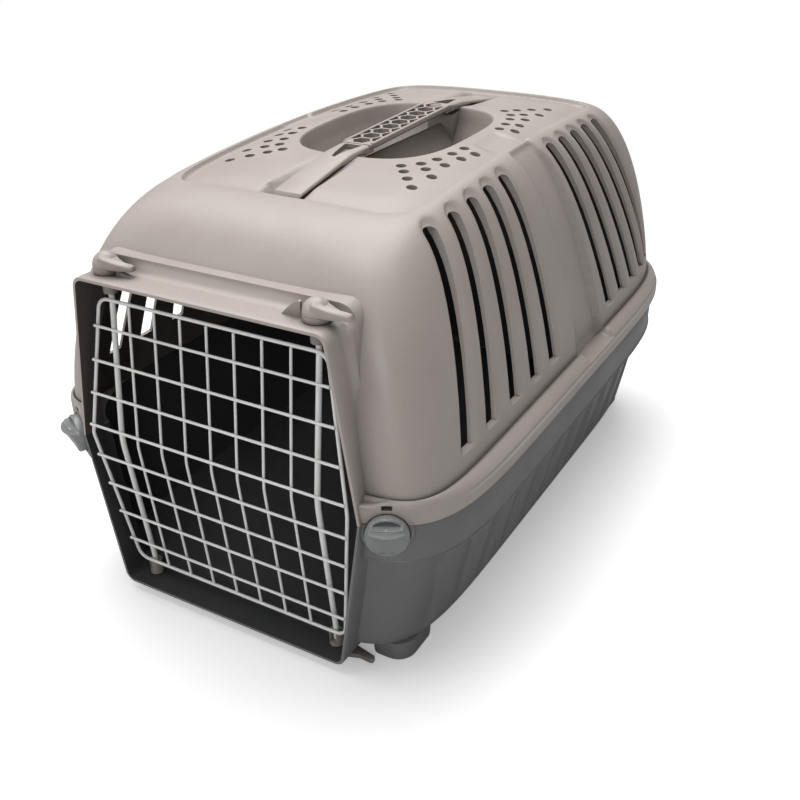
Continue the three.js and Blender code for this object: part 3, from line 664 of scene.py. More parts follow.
def top_outer():
    rows = []
    for share, z in RIM_BAND:
        x, y = outline(mix(RIM, FLANK_FOOT, share), FINE)
        z_dipped = z - strap_channel(y, 152.0) * on_side(x) * max(z - 151.0, 0) * 0.75
        depth = strap_channel(y, z_dipped) * on_side(x) * 3.6 if z > 151 else 0.0
        rows.append(pushed_ring(x, y, z_dipped, depth))
    rows += flank_rows()
    for inset, rise in ROOF_LIP:
        x, y = outline(inset_shape(ROOF_EDGE, inset, inset), FINE)
        # the lip sinks where the strap channel comes over it
        strap = (1 - ease(17, 24, np.abs(y - MID_Y))) * ease(70, 90, np.abs(x))
        z = roof_with_trough(x, y) + rise * (1 - strap) + strap * min(rise, -2.4)
        rows.append(pushed_ring(x, y, z))
    last_inset = ROOF_LIP[-1][0]
    inside_lip = inset_shape(ROOF_EDGE, last_inset, last_inset)
    for share in (0.2, 0.4, 0.6, 0.8, 0.93):
        x, y = outline(mix(inside_lip, recess_shape(), share), FINE)
        rows.append(pushed_ring(x, y, roof_with_trough(x, y)))
    for scale, rise in ((1.0, 0.0), (0.992, -0.6), (0.985, -2.2)):
        x, y = outline(recess_shape(scale), FINE)
        rows.append(pushed_ring(x, y, roof(x, y) + rise))
    for scale in (0.965, 0.94, 0.9, 0.85, 0.79, 0.72, 0.63, 0.52, 0.4, 0.27, 0.13, 0.04):
        x, y = outline(recess_shape(scale, square=3.0 - 0.6 * (1 - scale)), FINE)
        rows.append(pushed_ring(x, y, recess_floor(x, y, scale)))
    return loft(rows)


def top_inner():
    """The hollow of the top shell."""
    rows = []

    def add_row(shape, height):
        x, y = outline(shape, COARSE)
        z = height(x, y) + np.zeros_like(x)
        # the wall follows the strap channel
        x = x - np.sign(x) * 3.0 * strap_channel(y, z) * on_side(x)
        rows.append(np.stack([x, y, z], 1))

    def ceiling(x, y):
        return roof(x, y) - CEILING - WALL

    def under_trough(x, y):
        return 5.6 * (1 - ease(20, 30, np.abs(x))) * ease(90, 110, np.abs(y - MID_Y))

    for level in (SPLIT_Z - 8, CREASE_Z - 1.0):
        add_row(inset_shape(FLANK_FOOT, SIDE_WALL, WALL), lambda x, y: level)
    for turn in np.linspace(0.3, pi / 2, 22):
        upright = cos(turn)
        side = SIDE_WALL * upright + 3.0 * (1 - upright)
        end = WALL * upright + 2 * (1 - upright)
        shoulder = 3.0 * ease(0.5, 1.2, turn) * (1 - ease(1.3, 1.55, turn))

        def height(x, y):
            rise = (roof(x, y) - CEILING - CREASE_Z) * sin(turn) ** RISE_POWER
            lowered = WALL * sin(turn) + shoulder + ease(1.2, 1.57, turn) * under_trough(x, y)
            return CREASE_Z + rise - lowered

        add_row(inset_shape(flank_shape(turn), side, end), height)
    for share in (0.12, 0.3, 0.6):
        shape = mix(inset_shape(ROOF_EDGE, 3.0, 2), recess_shape(grow=WALL), share)
        add_row(shape, lambda x, y: ceiling(x, y) - under_trough(x, y))
    add_row(recess_shape(grow=WALL + 1.5), ceiling)
    for scale in (1.0, 0.97, 0.92, 0.85, 0.75, 0.6, 0.4, 0.2, 0.05):
        add_row(recess_shape(scale, WALL),
                lambda x, y: recess_floor(x, y, scale) - 0.4 - CEILING - WALL)
    return loft(rows)


# ------------------------------------------------------------------ door collar
def collar_outline(inset=0.0):
    """Outline of (x, z), with points along the straight runs so that the flare bends smoothly."""
    top_x, middle_x, bottom_x = (
        x - inset for x in (COLLAR_TOP_X, COLLAR_MIDDLE_X, COLLAR_BOTTOM_X))
    top_z, bottom_z = COLLAR_TOP_Z - inset * 1.2, COLLAR_BOTTOM_Z + inset * 1.15
    corners = [(bottom_x, bottom_z), (middle_x, SPLIT_Z), (top_x, top_z),
               (-top_x, top_z), (-middle_x, SPLIT_Z), (-bottom_x, bottom_z)]
    radius = COLLAR_RADIUS - inset
    rounded = fillet(corners, [radius, 0, radius] * 2, 8, closed=True)
    points = []
    for start, end in zip(rounded, np.roll(rounded, -1, 0)):
        extra = int(np.linalg.norm(end - start) // 9)
        points += [start + (end - start) * j / (extra + 1) for j in range(extra + 1)]
    return np.array(points)


def hollow_fillet(y, start, radius):
    """Outward flare of the sleeve at y; it stops just short of a quarter circle."""
    travel = min(max(y - start, 0), radius - 0.2)
    return radius - sqrt(radius**2 - travel**2)


def collar_outer(flared):
    """The sleeve; when flared it runs into the front wall in a hollow fillet."""
    points = collar_outline()
    normals = normals_of(points)
    rings = []
    for k, y in enumerate(COLLAR_Y):
        flare = np.zeros(len(points))
        if flared:
            above = hollow_fillet(y, -254.5, 11) * normals[:, 1] ** 2
            beside = hollow_fillet(y, -257.0, 6) * normals[:, 0] ** 2
            flare = np.where(normals[:, 1] > 0, above, 0) + beside
        eased = (0.45, 0.12)[k] if k < 2 else 0.0  # softens the front edge
        rings.append(ring_at(points + normals * (flare - eased)[:, None], y, "y"))
    return loft(rings)


def add_collar(shell, flared, low, high, material):
    """Add the part of the collar that lies between two heights."""
    collar = make("collar", collar_outer(flared), material)
    slab = make("slab", prism(rectangle(-400, 400, -400, 400), low, high), material)
    boolean(collar, slab, "INTERSECT")
    boolean(shell, collar, "UNION")


def cut_doorway(shell, material):
    """Cut the bore of the sleeve and, above a low sill, the way into the cabin."""
    bore = collar_outline(COLLAR_WALL)
    entry = bore.copy()
    entry[:, 1] = np.maximum(entry[:, 1], 20.0)
    cut(shell, prism(bore, -280.0, -249.7, "y"), material)
    cut(shell, prism(entry, -250.2, -206.0, "y"), material)


# ------------------------------------------------------------------ latch seats
def add_latch_pads(shell, upper, material):
    """Pad around each shell latch, drawn in the latch's own frame."""
    if upper:
        edge = TOP_EDGE - LATCH_Z
        x = np.linspace(19.5, -19.5, 40)
        curve = 21.6 + 2.6 * np.exp(-((x / 6.5) ** 2))
        corners = [(-19.5, edge), (19.5, edge)]
    else:
        edge = BASE_EDGE - LATCH_Z
        x = np.linspace(-18.5, 18.5, 30)
        curve = -np.sqrt(np.maximum(18.6**2 - x**2, 0)) - 0.2
        corners = [(18.5, edge), (-18.5, edge)]
    points = resample(corners + list(zip(x, curve)), 2.0, closed=True)
    pad = soft_prism(points, -22, -5.9, 2.0, steps=5)
    for side in SIDES:
        add(shell, place(pad, latch_matrix(side)), material)


def cut_latch_seats(shell, pin_low, pin_high, material, window=False):
    """Cut the latch seats and the holes for the door's pivots."""
    cutters = []
    for side in SIDES:
        cutters.append(place(disc(15.75, -8, 6), latch_matrix(side)))
        cutters.append(shift(disc(4.0, pin_low, pin_high, 32), side * PIVOT_X, PIVOT_Y))
        if window:
            # small window over the latch
            points = fillet(rectangle(-3.6, 3.6, 18.0, 21.6), 0.6, 3, closed=True)
            cutters.append(place(prism(points, -13, 0), latch_matrix(side)))
    cut(shell, join(cutters), material)
    for radius, low, high in ((12.6, -11.4, -7.0), (4.1, -15.6, -11.0)):
        bores = [place(disc(radius, low, high), latch_matrix(side)) for side in SIDES]
        cut(shell, join(bores), material)


# ------------------------------------------------------------------ top shell
def webs():
    """Tent-shaped web under the grip, and the pillar that carries each end of it."""
    tent = fillet([(-26.8, 281), (26.8, 281), (0, 318.6)], [0, 0, 2.0], 6, closed=True)
    parts = [prism(tent, -72.0, 79.0, "y")]
    for end in SIDES:
        floor_z = trough_floor(end, 94)
        profile = [  # distance from MID_Y, z
            (72.5, 285), (72.5, grip_end_z(end) - 10.2), (84, floor_z - 2.4),
            (96, floor_z - 1.4), (108, floor_z - 6), (108, 285)]
        profile = [(MID_Y + end * reach, z) for reach, z in profile]
        profile = fillet(profile, [0, 0.8, 4, 0, 0, 0], 4, closed=True)
        parts.append(prism(profile, -12.6, 12.6, "x"))
    return parts


def stop_fin(side):
    """Upright fin beside a door lever; the right one is taller."""
    rise = 11.4 if side > 0 else 3.9
    profile = [(62.0, -1.5), (78.0, -1.5), (77.8, rise - 0.6), (76.4, rise), (70, 0.62 * rise),
               (63.5, 0.8)]
    profile = [(side * x, COLLAR_TOP_Z + z) for x, z in profile]
    return prism(fillet(profile, 0.6, 3, closed=True), -258.2, -255.8, "y")


def vent_cutters():
    half = 7.0
    parts = []
    for side in SIDES:
        for foot_y, top_y, top_z in VENTS:
            lean = (top_y - foot_y) / (top_z - VENT_Z)
            end_z = top_z - 2.0
            end_y = foot_y + lean * (end_z - VENT_Z)
            points = [(foot_y - half, VENT_Z + 0.25), (foot_y + half, VENT_Z + 0.25)]
            points += [(end_y + half * cos(a), end_z + 3.2 * sin(a))
                       for a in np.linspace(0, pi, 13)]
            parts.append(prism(points, side * 96, side * 205, "x"))
    return join(parts)


def roof_cutters():
    """The round holes, and a slot for the tongue of each handle foot."""
    hole = disc(4.0, 300, 340, 28)
    parts = [shift(hole, side * x, MID_Y + end * reach)
             for x, reach in ROOF_HOLES for side in SIDES for end in SIDES]
    slot = prism(fillet(rectangle(-6.5, 6.5, -3.2, 3.2), 1.0, 4, closed=True), 300, 340)
    parts += [shift(slot, 0, MID_Y + end * 159) for end in SIDES]
    return join(parts)


def build_top():
    # the second, darker taupe paints shade on the faces inside the shell and in the doorway
    shell = make("shell_top", top_outer(), TAUPE, TAUPE_SHADED)
    add_collar(shell, True, TOP_EDGE, 500, TAUPE)
    for part in webs():
        add(shell, part, TAUPE)
    cut(shell, top_inner(), TAUPE_SHADED)
    add_latch_pads(shell, True, TAUPE)
    for side in SIDES:
        add(shell, stop_fin(side), TAUPE)
    # room behind the dome of each lever
    room = disc(10.3, COLLAR_TOP_Z + 0.02, COLLAR_TOP_Z + 17, 40)
    cut(shell, join([shift(room, side * PIVOT_X, PIVOT_Y) for side in SIDES]), TAUPE)
    cut_latch_seats(shell, COLLAR_TOP_Z - 6, COLLAR_TOP_Z + 3, TAUPE, window=True)
    cut_doorway(shell, TAUPE_SHADED)
    cut(shell, vent_cutters(), TAUPE)
    cut(shell, roof_cutters(), TAUPE)
    return smooth(shell)


# ------------------------------------------------------------------ base shell
# Each row: half width, front y, rear y, squareness front and rear, height.
BASE_FLOOR = [
    (138, -246, 240, 7, 7, 14.8),
    (144, -252, 246, 7, 7, 14.8),
    (148, -255.6, 249.6, 7, 7, 15.4),
    (150.6, -257.4, 251.6, 6.9, 6.9, 17.2),
]
BASE_WALL = np.array([
    (150.0, -257.0, 251.0, 7.0, 7.0, 17.0),
    (153.5, -259.0, 254.0, 6.6, 6.6, 23.0),
    (164.0, -260.5, 260.0, 5.6, 5.6, 66.0),
    (172.0, -261.5, 264.5, 5.8, 5.1, 103.0),
])
BASE_RIM = [
    (174.5, -262.5, 266.3, 6.0, 5.4, 104.2),
    (178.6, -264.8, 270.0, 6.6, 5.4, 104.6),
    (179.6, -265.6, 271.0, 6.7, 5.4, 105.4),
    (179.7, -265.7, 271.1, 6.8, 5.4, 106.4),
    (178.9, -265, 270.1, 6.9, 5.4, 107.4),
    (178.9, -265, 270.1, 7.0, 5.4, 110),
    (179.2, -265.2, 270.3, 7.0, 5.4, 122),
    (179.5, -265.5, 270.6, 7.0, 5.4, 138.6),
    (179.0, -265.2, 270.2, 7.0, 5.4, BASE_EDGE),
]
BASE_HOLLOW = [  # outer shapes that the hollow is drawn in from
    (143, -250, 244, 6.8, 6.8, 14.8 + WALL),
    (150.5, -256, 250.5, 6.6, 6.6, 23),
    (164, -260.5, 260, 5.6, 5.6, 66),
    (172, -261.5, 264.5, 5.1, 5.1, 104),
    (174.5, -262, 266, 5.0, 5.0, SPLIT_Z + 8),
]
FLUTE_Y = [-216, -177, -137, -98, -58, -19, 20, 60, 99, 138, 178, 217]
FEET = [  # front y, rear y, outer corner radius at the front and at the rear
    (-243, -200, 17, 6),
    (184, 236, 6, 20),
]
FOOT_INNER_X, FOOT_OUTER_X, FOOT_TOP = 110, 141, 16.6


def flute_depth(x, y, z):
    """Vertical flutes in the flanks, each with a crease on its rear side."""
    depth = np.zeros_like(x)
    for flute_y in FLUTE_Y:
        off = y - (flute_y + (z - 100) * 0.03 * np.sign(flute_y))
        depth = np.maximum(depth, 3.4 * (1 - ease(0.0, 1.5, off)) * ease(-22, 0.0, off))
    fade = ease(18, 30, z) * (1 - ease(98.5, 102.5, z))
    return depth * fade * ease(120, 138, np.abs(x))


def base_outer():
    def plain_row(*row):
        return pushed_ring(*outline(row[:5], FINE), row[5])

    rows = [plain_row(*row) for row in BASE_FLOOR]
    for z in np.linspace(20, 103.5, 22):
        shape = [np.interp(z, BASE_WALL[:, 5], BASE_WALL[:, k]) for k in range(5)]
        x, y = outline(shape, FINE)
        rows.append(pushed_ring(x, y, z, flute_depth(x, y, z)))
    rows += [plain_row(*row) for row in BASE_RIM]
    return loft(rows)


def base_inner():
    """The hollow of the base shell."""
    return loft([ring_at(np.stack(outline(inset_shape(row, SIDE_WALL, WALL), COARSE), 1), row[5])
                 for row in BASE_HOLLOW])


def foot(side, front, rear, front_radius, rear_radius):
    corners = rectangle(side * FOOT_INNER_X, side * FOOT_OUTER_X, front, rear)
    points = fillet(corners, [6, front_radius, rear_radius, 6], 8, closed=True)
    points = resample(points, 3.0, closed=True)
    verts, faces = soft_prism(points, 0, FOOT_TOP, 0, 1.6)
    # taper towards the floor
    taper = (1 - np.clip(verts[:, 2] / 16, 0, 1)) * 0.04
    verts[:, :2] -= (verts[:, :2] - points.mean(0)) * taper[:, None]
    return verts, faces


def build_base():
    # the second, darker grey paints shade on the faces inside the shell and in the doorway
    shell = make("shell_base", base_outer(), GREY, GREY_SHADED)
    add_collar(shell, False, -20, BASE_EDGE, GREY)
    cut(shell, base_inner(), GREY_SHADED)
    add_latch_pads(shell, False, GREY)
    for side in SIDES:
        for sizes in FEET:
            add(shell, foot(side, *sizes), GREY)
    cut_latch_seats(shell, COLLAR_BOTTOM_Z - 3, COLLAR_BOTTOM_Z + 6, GREY)
    cut_doorway(shell, GREY_SHADED)
    return smooth(shell)


register(build_top(), "top", "top_shell")
register(build_base(), "base", "base_shell")


# ------------------------------------------------------------------ door
ROD_RADIUS, FRAME_RADIUS, CROSSBAR_RADIUS, UPRIGHT_RADIUS = 2.15, 1.35, 1.1, 1.05
# Right half of the frame: bottom corner, bend and top corner.
FRAME_X = (99.5, 114.5, 97.5)
FRAME_Y = (-259.8, -271.7, -259.3)
FRAME_Z = (24.7, 144.3, 253.9)
BEND_Y, BEND_Z = FRAME_Y[1], FRAME_Z[1]
UPRIGHT_PITCH = 23.125
UPRIGHT_X = [(i - 4) * UPRIGHT_PITCH for i in range(1, 8)]
UPRIGHT_BOTTOM_Z, UPRIGHT_TOP_Z = 26.35, 252.25
CROSSBAR_PITCH = 26.857
CROSSBARS_ABOVE_BEND = 4.32  # pitches from the bend up to where bar 0 would be
CROSSBAR_FORWARD = 2.75  # how far the crossbars lie in front of the frame


def door_x(z):
    return np.interp(z, FRAME_Z, FRAME_X)


def door_y(z):
    return np.interp(z, FRAME_Z, FRAME_Y)


def wire(name, path, radius, sides, replaced, **options):
    part = tube(path, radius, sides, **options)
    piece(name, part, "door", WIRE, replaced, angle=60)


def build_door():
    right = list(zip(FRAME_X, FRAME_Z))
    corners = right + [(-x, z) for x, z in right[::-1]]
    loop = resample(fillet(corners, [9, 16, 9] * 2, 10, closed=True), 3.0, closed=True)
    loop = [(x, door_y(z), z) for x, z in loop]
    wire("wire_perimeter", loop, FRAME_RADIUS, 14, "door_frame_wire", closed=True)

    for i, x in enumerate(UPRIGHT_X, 1):
        line = [(x, door_y(UPRIGHT_TOP_Z), UPRIGHT_TOP_Z), (x, BEND_Y, BEND_Z),
                (x, door_y(UPRIGHT_BOTTOM_Z), UPRIGHT_BOTTOM_Z)]
        line = resample(fillet(line, [0, 30, 0], 10), 4.0)
        wire(f"wire_upright_{i}", line, UPRIGHT_RADIUS, 12, f"door_upright_{i}")

    for j in range(1, 9):
        z = BEND_Z + (CROSSBARS_ABOVE_BEND - j) * CROSSBAR_PITCH
        y, end_x = door_y(z) - CROSSBAR_FORWARD, door_x(z) + 0.8
        welds = [(x, y, z) for x in (*UPRIGHT_X, 0.9 - end_x, end_x - 0.9)]
        line = resample([(-end_x, y, z), (end_x, y, z)], 1.15)
        wire(f"wire_crossbar_{j}", line, CROSSBAR_RADIUS, 12, f"door_crossbar_{j}", welds=welds)

    # The rods run behind the frame and bow forward with it.
    behind_y = BEND_Y + (ROD_RADIUS + FRAME_RADIUS + 0.3)
    line = [(PIVOT_Y, 266.2), (PIVOT_Y, 251.5), (behind_y, BEND_Z + 5), (behind_y, BEND_Z - 5),
            (PIVOT_Y, 27.5), (PIVOT_Y, 15.1)]
    for name, side in (("left", -1), ("right", 1)):
        rod = fillet(ring_at(line, side * PIVOT_X, "x"), [0, 24, 60, 60, 24, 0], 8)
        wire(f"pivot_rod_{name}", resample(rod, 4.0), ROD_RADIUS, 18, f"door_rod_{name}")


build_door()


# ------------------------------------------------------------------ door levers and pin cups
# Both lever types are drawn pointing up, with the pivot on z and the tail towards +X.
TOP_HUB = [  # radius and z, up to the foot of the dome
    (0, -3.0), (3.4, -3.0), (3.6, -2.8), (3.6, 0.3), (8.6, 0.3), (9.4, 0.5), (9.7, 1.1),
    (9.7, 3.9), (9.45, 4.15), (9.45, 4.5), (9.6, 4.8)]
TOP_TAIL = [(0, -8.6), (12, -7.6), (25.4, -4.4), (26.4, 0.3), (16, 0.4), (8, 3.6), (0, 5.6)]
BOTTOM_HUB = [  # radius and z
    (0, -3.0), (3.6, -3.0), (3.6, 0.3), (9.0, 0.3), (9.6, 0.8), (9.4, 3.2), (8.6, 4.6),
    (7.2, 5.3), (3, 5.6), (0, 5.6)]
BOTTOM_TAIL = [(0, -9.0), (14, -8.4), (30.5, -4.8), (31.5, 0.4), (20, -0.4), (8, 3.6), (0, 5.6)]
LEVERS = [  # name, side, 1 for top and -1 for bottom, turn in degrees
    ("top_right", 1, 1, 5),
    ("top_left", -1, 1, 5),
    ("bottom_right", 1, -1, 0),
    ("bottom_left", -1, -1, -25),
]


def lever(hub, tail, *edges, **options):
    """Turned hub with a flat tail; edges and options go to soft_prism."""
    points = fillet(tail, [0, 4, 2.4, 2.2, 4, 3, 0], 5, closed=True)
    points = resample(points, 1.2, closed=True)
    obj = make("lever", lathe(hub, 44), TAUPE)
    add(obj, soft_prism(points, *edges, **options), TAUPE)
    return take_part(obj)


def top_lever():
    def tail_top(x, y):
        """A falling surface with a ridge along it and a raised end."""
        ridge = 1.5 * np.exp(-(((y + 5.2 - x * 0.12) / 1.7) ** 2))
        return 12.9 - 0.235 * np.clip(x, 0, 40) + ridge + 0.5 * ease(22, 25.5, x)

    dome = [(9.6 * cos(a), 5.0 + 10.2 * sin(a)) for a in np.linspace(0.06, pi / 2, 14)]
    return lever(TOP_HUB + dome, TOP_TAIL, 4.4, 12.0, 1.2, 0.4, top=tail_top)


def bottom_lever():
    return lever(BOTTOM_HUB, BOTTOM_TAIL, 0.8, 4.8, 0.9, 0.3, steps=3)


def pin_cup():
    """Socket below the lever, bored from beneath and slotted across."""
    outside = [(0, -12.9), (4.5, -12.9), (5.1, -12.65), (5.3, -12.1), (5.3, -0.6), (0, -0.6)]
    bore = [(0, -14), (3.1, -14), (2.75, -12.4), (2.75, -4), (0, -4)]
    obj = make("cup", lathe(outside, 36), CUP)
    cut(obj, lathe(bore, 28), CUP)
    cut(obj, prism(rectangle(-2.6, 2.6, 0.01, 8), -14, -4), CUP)
    return shift(take_part(obj), z=-2.7)


def build_levers():
    upside_down = np.diag([1.0, -1.0, -1.0, 1.0])
    caps = {1: top_lever(), -1: place(bottom_lever(), upside_down)}
    cup = pin_cup()
    cups = {1: cup, -1: place(cup, upside_down)}
    for name, side, level, degrees in LEVERS:
        turn = radians(degrees)
        pivot_z = COLLAR_TOP_Z if level > 0 else COLLAR_BOTTOM_Z
        matrix = [[cos(turn), -sin(turn), 0, side * PIVOT_X],
                  [sin(turn), cos(turn), 0, PIVOT_Y],
                  [0, 0, 1, pivot_z],
                  [0, 0, 0, 1]]
        body = f"lever_{name}"
        piece(f"lever_cap_{name}", place(caps[level], matrix), body, TAUPE,
              f"door_lever_{name}")
        piece(f"lever_socket_{name}", place(cups[level], matrix), body, CUP,
              f"pin_cup_{name}")


build_levers()


# ------------------------------------------------------------------ shell latches
KNOB_RADIUS = 15.1
KNOB_SIDES = 112
KNOB_EDGE = 1.2  # rounding of the rim
KNOB_BACK = [  # radius and z: spindle, back plate and rim
    (3.6, -15.1), (3.6, -7.2), (14.2, -7.2), (14.9, -6.8), (KNOB_RADIUS, -6.2),
    (KNOB_RADIUS, -3.0), (KNOB_RADIUS, -1.2)]


def knob_face(x, y):
    """Finger pocket above, a ridge between two creases, a slope and a flat chord at the foot."""
    arch = np.sqrt(np.clip(1 - (x / 15.0) ** 2, 0, 1))
    # the upper and lower crease, and the heights there
    upper_y = 9.6 - 0.4 * (x / 13) ** 2
    lower_y = 5.4 + 0.9 * (x / 12) ** 2
    upper_z, lower_z = 5.2 * arch, 8.4 * arch
    radius = np.hypot(x, y)
    inside = 1 - ease(12.6, 13.5, radius)
    edge = 1 - ease(13.9, 14.6, radius)
    above = ease(-0.2, 0.5, y - upper_y)
    share = np.clip((y - lower_y) / (upper_y - lower_y), 0, 1)
    band = lerp(lower_z, upper_z, ease(lower_y, upper_y, y)) - 0.9 * np.sin(share * pi)
    fall = np.clip((lower_y - y) / (lower_y + 11.2), 0, 1) ** 0.85
    ridge = np.where(y > lower_y, band, lerp(lower_z, 0.8, fall))
    ridge += 0.5 * arch * np.exp(-(((y - lower_y) / 0.7) ** 2))
    ridge += 0.5 * arch * np.exp(-(((y - upper_y + 0.5) / 0.7) ** 2))
    body = ease(-11.9, -11.1, y) * (1 - above)
    return -inside + (ridge + inside) * body * edge - 3.4 * above * inside


def knob():
    """Face as a height field on a round grid, with the body and the spindle behind it."""
    angle = 2 * pi * np.arange(KNOB_SIDES) / KNOB_SIDES
    circle = np.stack([np.cos(angle), np.sin(angle)], 1)
    rings = [ring_at(radius * circle, z) for radius, z in KNOB_BACK]
    rim = [KNOB_RADIUS - inset for inset in (0, 0.08, 0.3, 0.7, 1.1)]
    for radius in rim + list(np.linspace(KNOB_RADIUS - 1.4, 0.2, 52)):
        share = min((KNOB_RADIUS - radius) / KNOB_EDGE, 1)
        drop = KNOB_EDGE * (1 - sqrt(1 - (1 - share) ** 2))
        points = radius * circle
        rings.append(ring_at(points, knob_face(points[:, 0], points[:, 1]) - drop))
    return loft(rings)


def build_latches():
    dial = knob()
    for name, side in (("left", -1), ("right", 1)):
        piece(f"latch_dial_{name}", place(dial, latch_matrix(side)), f"latch_{name}", KNOB,
              f"latch_knob_{name}", angle=50)
        cam_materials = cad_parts[f"latch_cam_{name}"].data.materials
        cam_materials.clear()
        cam_materials.append(CAM)


build_latches()


# ------------------------------------------------------------------ carry handle
GRIP_LENGTH, GRIP_WIDTH = 68.5, 13.3  # half sizes
CELL_PITCH, CELL_WALL, CELL_DEPTH = 14.9, 1.9, 4.6


def tilted(part):
    verts = np.array(part[0], float)
    verts[:, 2] += GRIP_TILT * (verts[:, 1] - MID_Y)
    return verts, part[1]


def grip_profile(points, radii):
    """Rounded outline in x and z, drawn from the top of the grip."""
    return fillet([(x, GRIP_Z + z) for x, z in points], radii, 4, closed=True)


def grip_block():
    width = GRIP_WIDTH
    points = [(-7.0, -7.6), (7.0, -7.6), (width, -3.4), (width, -0.8), (width - 0.8, 0),
              (-width + 0.8, 0), (-width, -0.8), (-width, -3.4)]
    profile = grip_profile(points, [2.0, 2.0, 1.5, 0.4, 0.4, 0.4, 0.4, 1.5])
    return tilted(prism(profile, MID_Y - GRIP_LENGTH, MID_Y + GRIP_LENGTH, "y"))


def grip_cells():
    """Three rows of hexagonal cells; the outer rows are offset by half a pitch."""
    radius = (CELL_PITCH - CELL_WALL) / sqrt(3)
    cells = []
    for column in (-1, 0, 1):
        for k in range(-5, 6):
            y = (k + (0.5 if column else 0.0)) * CELL_PITCH
            if abs(y) > GRIP_LENGTH - 7.0:
                continue
            x = column * CELL_PITCH * 0.866
            hexagon = [(x + radius * cos(a), y + radius * sin(a)) for a in np.arange(6) * pi / 3]
            hexagon = fillet(hexagon, 0.9, 3, closed=True)
            cell = prism(hexagon, GRIP_Z - CELL_DEPTH, GRIP_Z + 4)
            cells.append(tilted(shift(cell, y=MID_Y)))
    return join(cells)


def grip_rail(side):
    """Rail along one side of the grip, closing the cut cells."""
    points = [(10.9, -CELL_DEPTH), (12.2, -CELL_DEPTH), (13.5, -3.2), (13.5, -0.2), (12.9, 0.5),
              (11.3, 0.5), (10.9, -0.2)]
    points = [(side * x, z) for x, z in points]
    profile = grip_profile(points, [0.3, 0.6, 0.9, 0.6, 0.4, 0.4, 0.6])
    half = GRIP_LENGTH - 3.5
    return tilted(prism(profile, MID_Y - half, MID_Y + half, "y"))


def foot_floor(end, reach):
    """Underside of a handle foot, just clear of the trough."""
    return trough_floor(end, reach) + 0.9


def handle_leg(end):
    grip_z = grip_end_z(end)
    near, at_94, at_125, at_163 = (foot_floor(end, reach) for reach in (94, 94, 125, 163))
    side_view = [  # distance from MID_Y, z
        (62, grip_z - 7.0), (62, grip_z - 0.6), (72, grip_z - 0.5), (94, at_94 + 3.6),
        (125, at_125 + 3.8), (163.5, at_163 + 3.4), (163.5, at_163), (125, at_125),
        (96, at_94), (84, near - 0.2), (74, grip_z - 7.6)]
    curve = fillet(side_view, [0, 0, 14, 30, 60, 1.2, 1.2, 60, 30, 6, 4], 5, closed=True)
    curve = resample(curve, 4.0, closed=True)
    normals = normals_of(curve)
    half = 12.3 + 0.5 * (1 - ease(70, 100, curve[:, 0]))
    rings = []
    # share of the half width, inset of the side view
    for share, inset in ((-1.0, 1.5), (-0.955, 0.6), (-0.86, 0.0), (0.86, 0.0), (0.955, 0.6),
                         (1.0, 1.5)):
        shrunk = curve - normals * inset
        rings.append(np.stack([share * half, MID_Y + end * shrunk[:, 0], shrunk[:, 1]], 1))
    return loft(rings)


def build_handle():
    """Grip of large hexagonal cells between two rails, with a forked foot at each end."""
    grip = make("grip_bar", grip_block(), TAUPE)
    # the walls and floors of the cells get the darker taupe: painted shade
    cut(grip, grip_cells(), CELL_SHADED)
    for side in SIDES:
        add(grip, grip_rail(side), TAUPE)
    for end in SIDES:
        add(grip, handle_leg(end), TAUPE)
        # tongue that reaches into the slot in the roof
        tongue_y, tongue_z = MID_Y + end * 159, trough_floor(end, 159)
        tongue = rectangle(-5, 5, tongue_y - 1.8, tongue_y + 1.8)
        add(grip, prism(tongue, tongue_z - 6, tongue_z + 3), TAUPE)
        # hollow between the two prongs of the foot; its faces get the darker taupe, painted shade
        wedge = [(-7.6, 71.5), (7.6, 71.5), (1.4, 101), (-1.4, 101)]
        wedge = [(x, MID_Y + end * y) for x, y in fillet(wedge, 1.2, 4, closed=True)]
        cut(grip, prism(wedge, foot_floor(end, 94) + 0.6, 350), CELL_SHADED)
    return smooth(grip)


register(build_handle(), "top", "carry_handle")


# ------------------------------------------------------------------ stage
WHITE = (1.0, 1.0, 1.0, 1)


def floor_material():
    """Pale paper: shaded near the carrier, fading to plain white further out."""
    material, tree = empty_material("studio_floor")
    mottle = node(tree, "TexNoise", {"Scale": 3.0}).outputs["Fac"]
    tone = map_range(tree, mottle, source=(0, 1), target=(0.94, 0.95))
    seen = node(tree, "BsdfDiffuse", {"Color": tone})
    # what other surfaces receive from the floor
    bounce = node(tree, "BsdfDiffuse", {"Color": (0.52, 0.52, 0.52, 1)})
    far = node(tree, "Emission", {"Color": WHITE, "Strength": 1.0})
    position = node(tree, "NewGeometry").outputs["Position"]
    distance = node(tree, "VectorMath", {0: position}, operation="LENGTH").outputs["Value"]
    # the fade runs between these distances from the origin, in metres
    fade = map_range(tree, distance, source=(0.28, 0.95), target=(0.0, 1.0),
                     interpolation_type="SMOOTHSTEP")
    lift = node(tree, "Emission", {"Color": WHITE, "Strength": 0.30})
    near = node(tree, "AddShader", {0: seen.outputs[0], 1: lift.outputs[0]})
    paper = node(tree, "MixShader", {0: fade, 1: near.outputs[0], 2: far.outputs[0]})
    camera_ray = node(tree, "LightPath").outputs["Is Camera Ray"]
    shown = node(tree, "MixShader", {0: camera_ray, 1: bounce.outputs[0], 2: paper.outputs[0]})
    node(tree, "OutputMaterial", {0: shown.outputs[0]})
    return material


def build_floor(radius=14000, sides=64):
    angle = 2 * pi * np.arange(sides) / sides
    circle = np.stack([np.cos(angle), np.sin(angle)], 1)
    verts = np.vstack([ring_at(radius * circle, 0.0), [[0, 0, 0]]])
    faces = [(k, (k + 1) % sides, sides) for k in range(sides)]
    make("studio_floor", (verts, faces), floor_material())


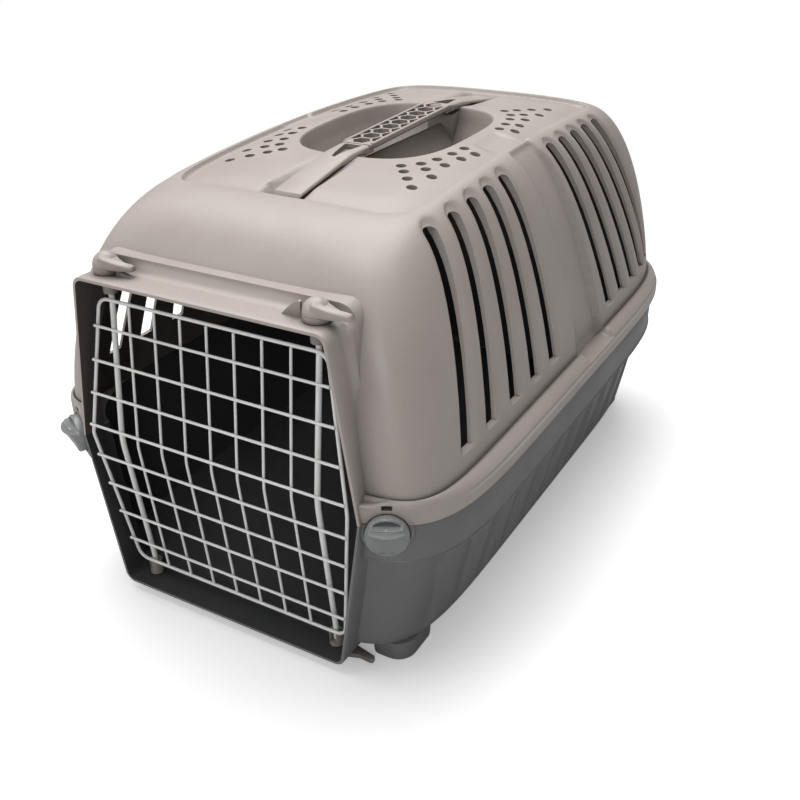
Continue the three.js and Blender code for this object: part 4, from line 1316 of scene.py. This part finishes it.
def build_world():
    """Dim white light all round; the camera itself sees a plain white backdrop."""
    world = bpy.data.worlds.new("studio")
    scene.world = world
    world.use_nodes = True
    tree = world.node_tree
    light = tree.nodes["Background"]
    light.inputs["Color"].default_value = WHITE
    light.inputs["Strength"].default_value = 0.17
    backdrop = node(tree, "Background", {"Color": WHITE, "Strength": 1.0})
    camera_ray = node(tree, "LightPath").outputs["Is Camera Ray"]
    sky = node(tree, "MixShader", {0: camera_ray, 1: light.outputs[0], 2: backdrop.outputs[0]})
    tree.links.new(sky.outputs[0], tree.nodes["World Output"].inputs[0])


def area_light(name, location, target, size, power):
    """Rectangular light; location, target and size are in metres and power in watts."""
    light = bpy.data.lights.new(name, "AREA")
    light.shape = "RECTANGLE"
    light.size, light.size_y = size
    light.energy = power
    obj = bpy.data.objects.new(name, light)
    scene.collection.objects.link(obj)
    obj.location = location
    obj.rotation_mode = "QUATERNION"
    obj.rotation_quaternion = (Vector(target) - Vector(location)).to_track_quat("-Z", "Y")


def build_camera():
    """Camera in front of the carrier and to its right, looking down on it; metres."""
    location = (0.4152, -0.7140, 0.5223)
    heading, down, roll = radians(-30.34), radians(28.64), radians(-1.0)
    data = bpy.data.cameras.new("photo_camera")
    data.sensor_width = 36.0
    data.lens = 44.3295
    data.clip_start = 0.01
    data.clip_end = 100
    camera = bpy.data.objects.new("photo_camera", data)
    scene.collection.objects.link(camera)
    forward = Vector((sin(heading) * cos(down), cos(heading) * cos(down), -sin(down)))
    level_right = Vector((cos(heading), -sin(heading), 0))
    level_up = level_right.cross(forward)
    right = level_right * cos(roll) + level_up * sin(roll)
    upward = -level_right * sin(roll) + level_up * cos(roll)
    rows = [list(row) for row in zip(right, upward, -forward, location)]
    camera.matrix_world = Matrix(rows + [[0, 0, 0, 1]])
    scene.camera = camera


build_floor()
build_world()
area_light("overhead", location=(-0.45, 0.45, 2.4), target=(0, 0, 0.1), size=(2.4, 2.4), power=72)
area_light("front_left", location=(-1.7, -1.9, 1.5), target=(0, 0, 0.2), size=(1.4, 1.2),
           power=14)
area_light("corner_strip", location=(1.0, -2.2, 1.1), target=(0, -0.1, 0.2), size=(0.45, 1.1),
           power=13)
scene.view_settings.view_transform = "Standard"
scene.view_settings.look = "None"
scene.view_settings.exposure = 0.0
build_camera()
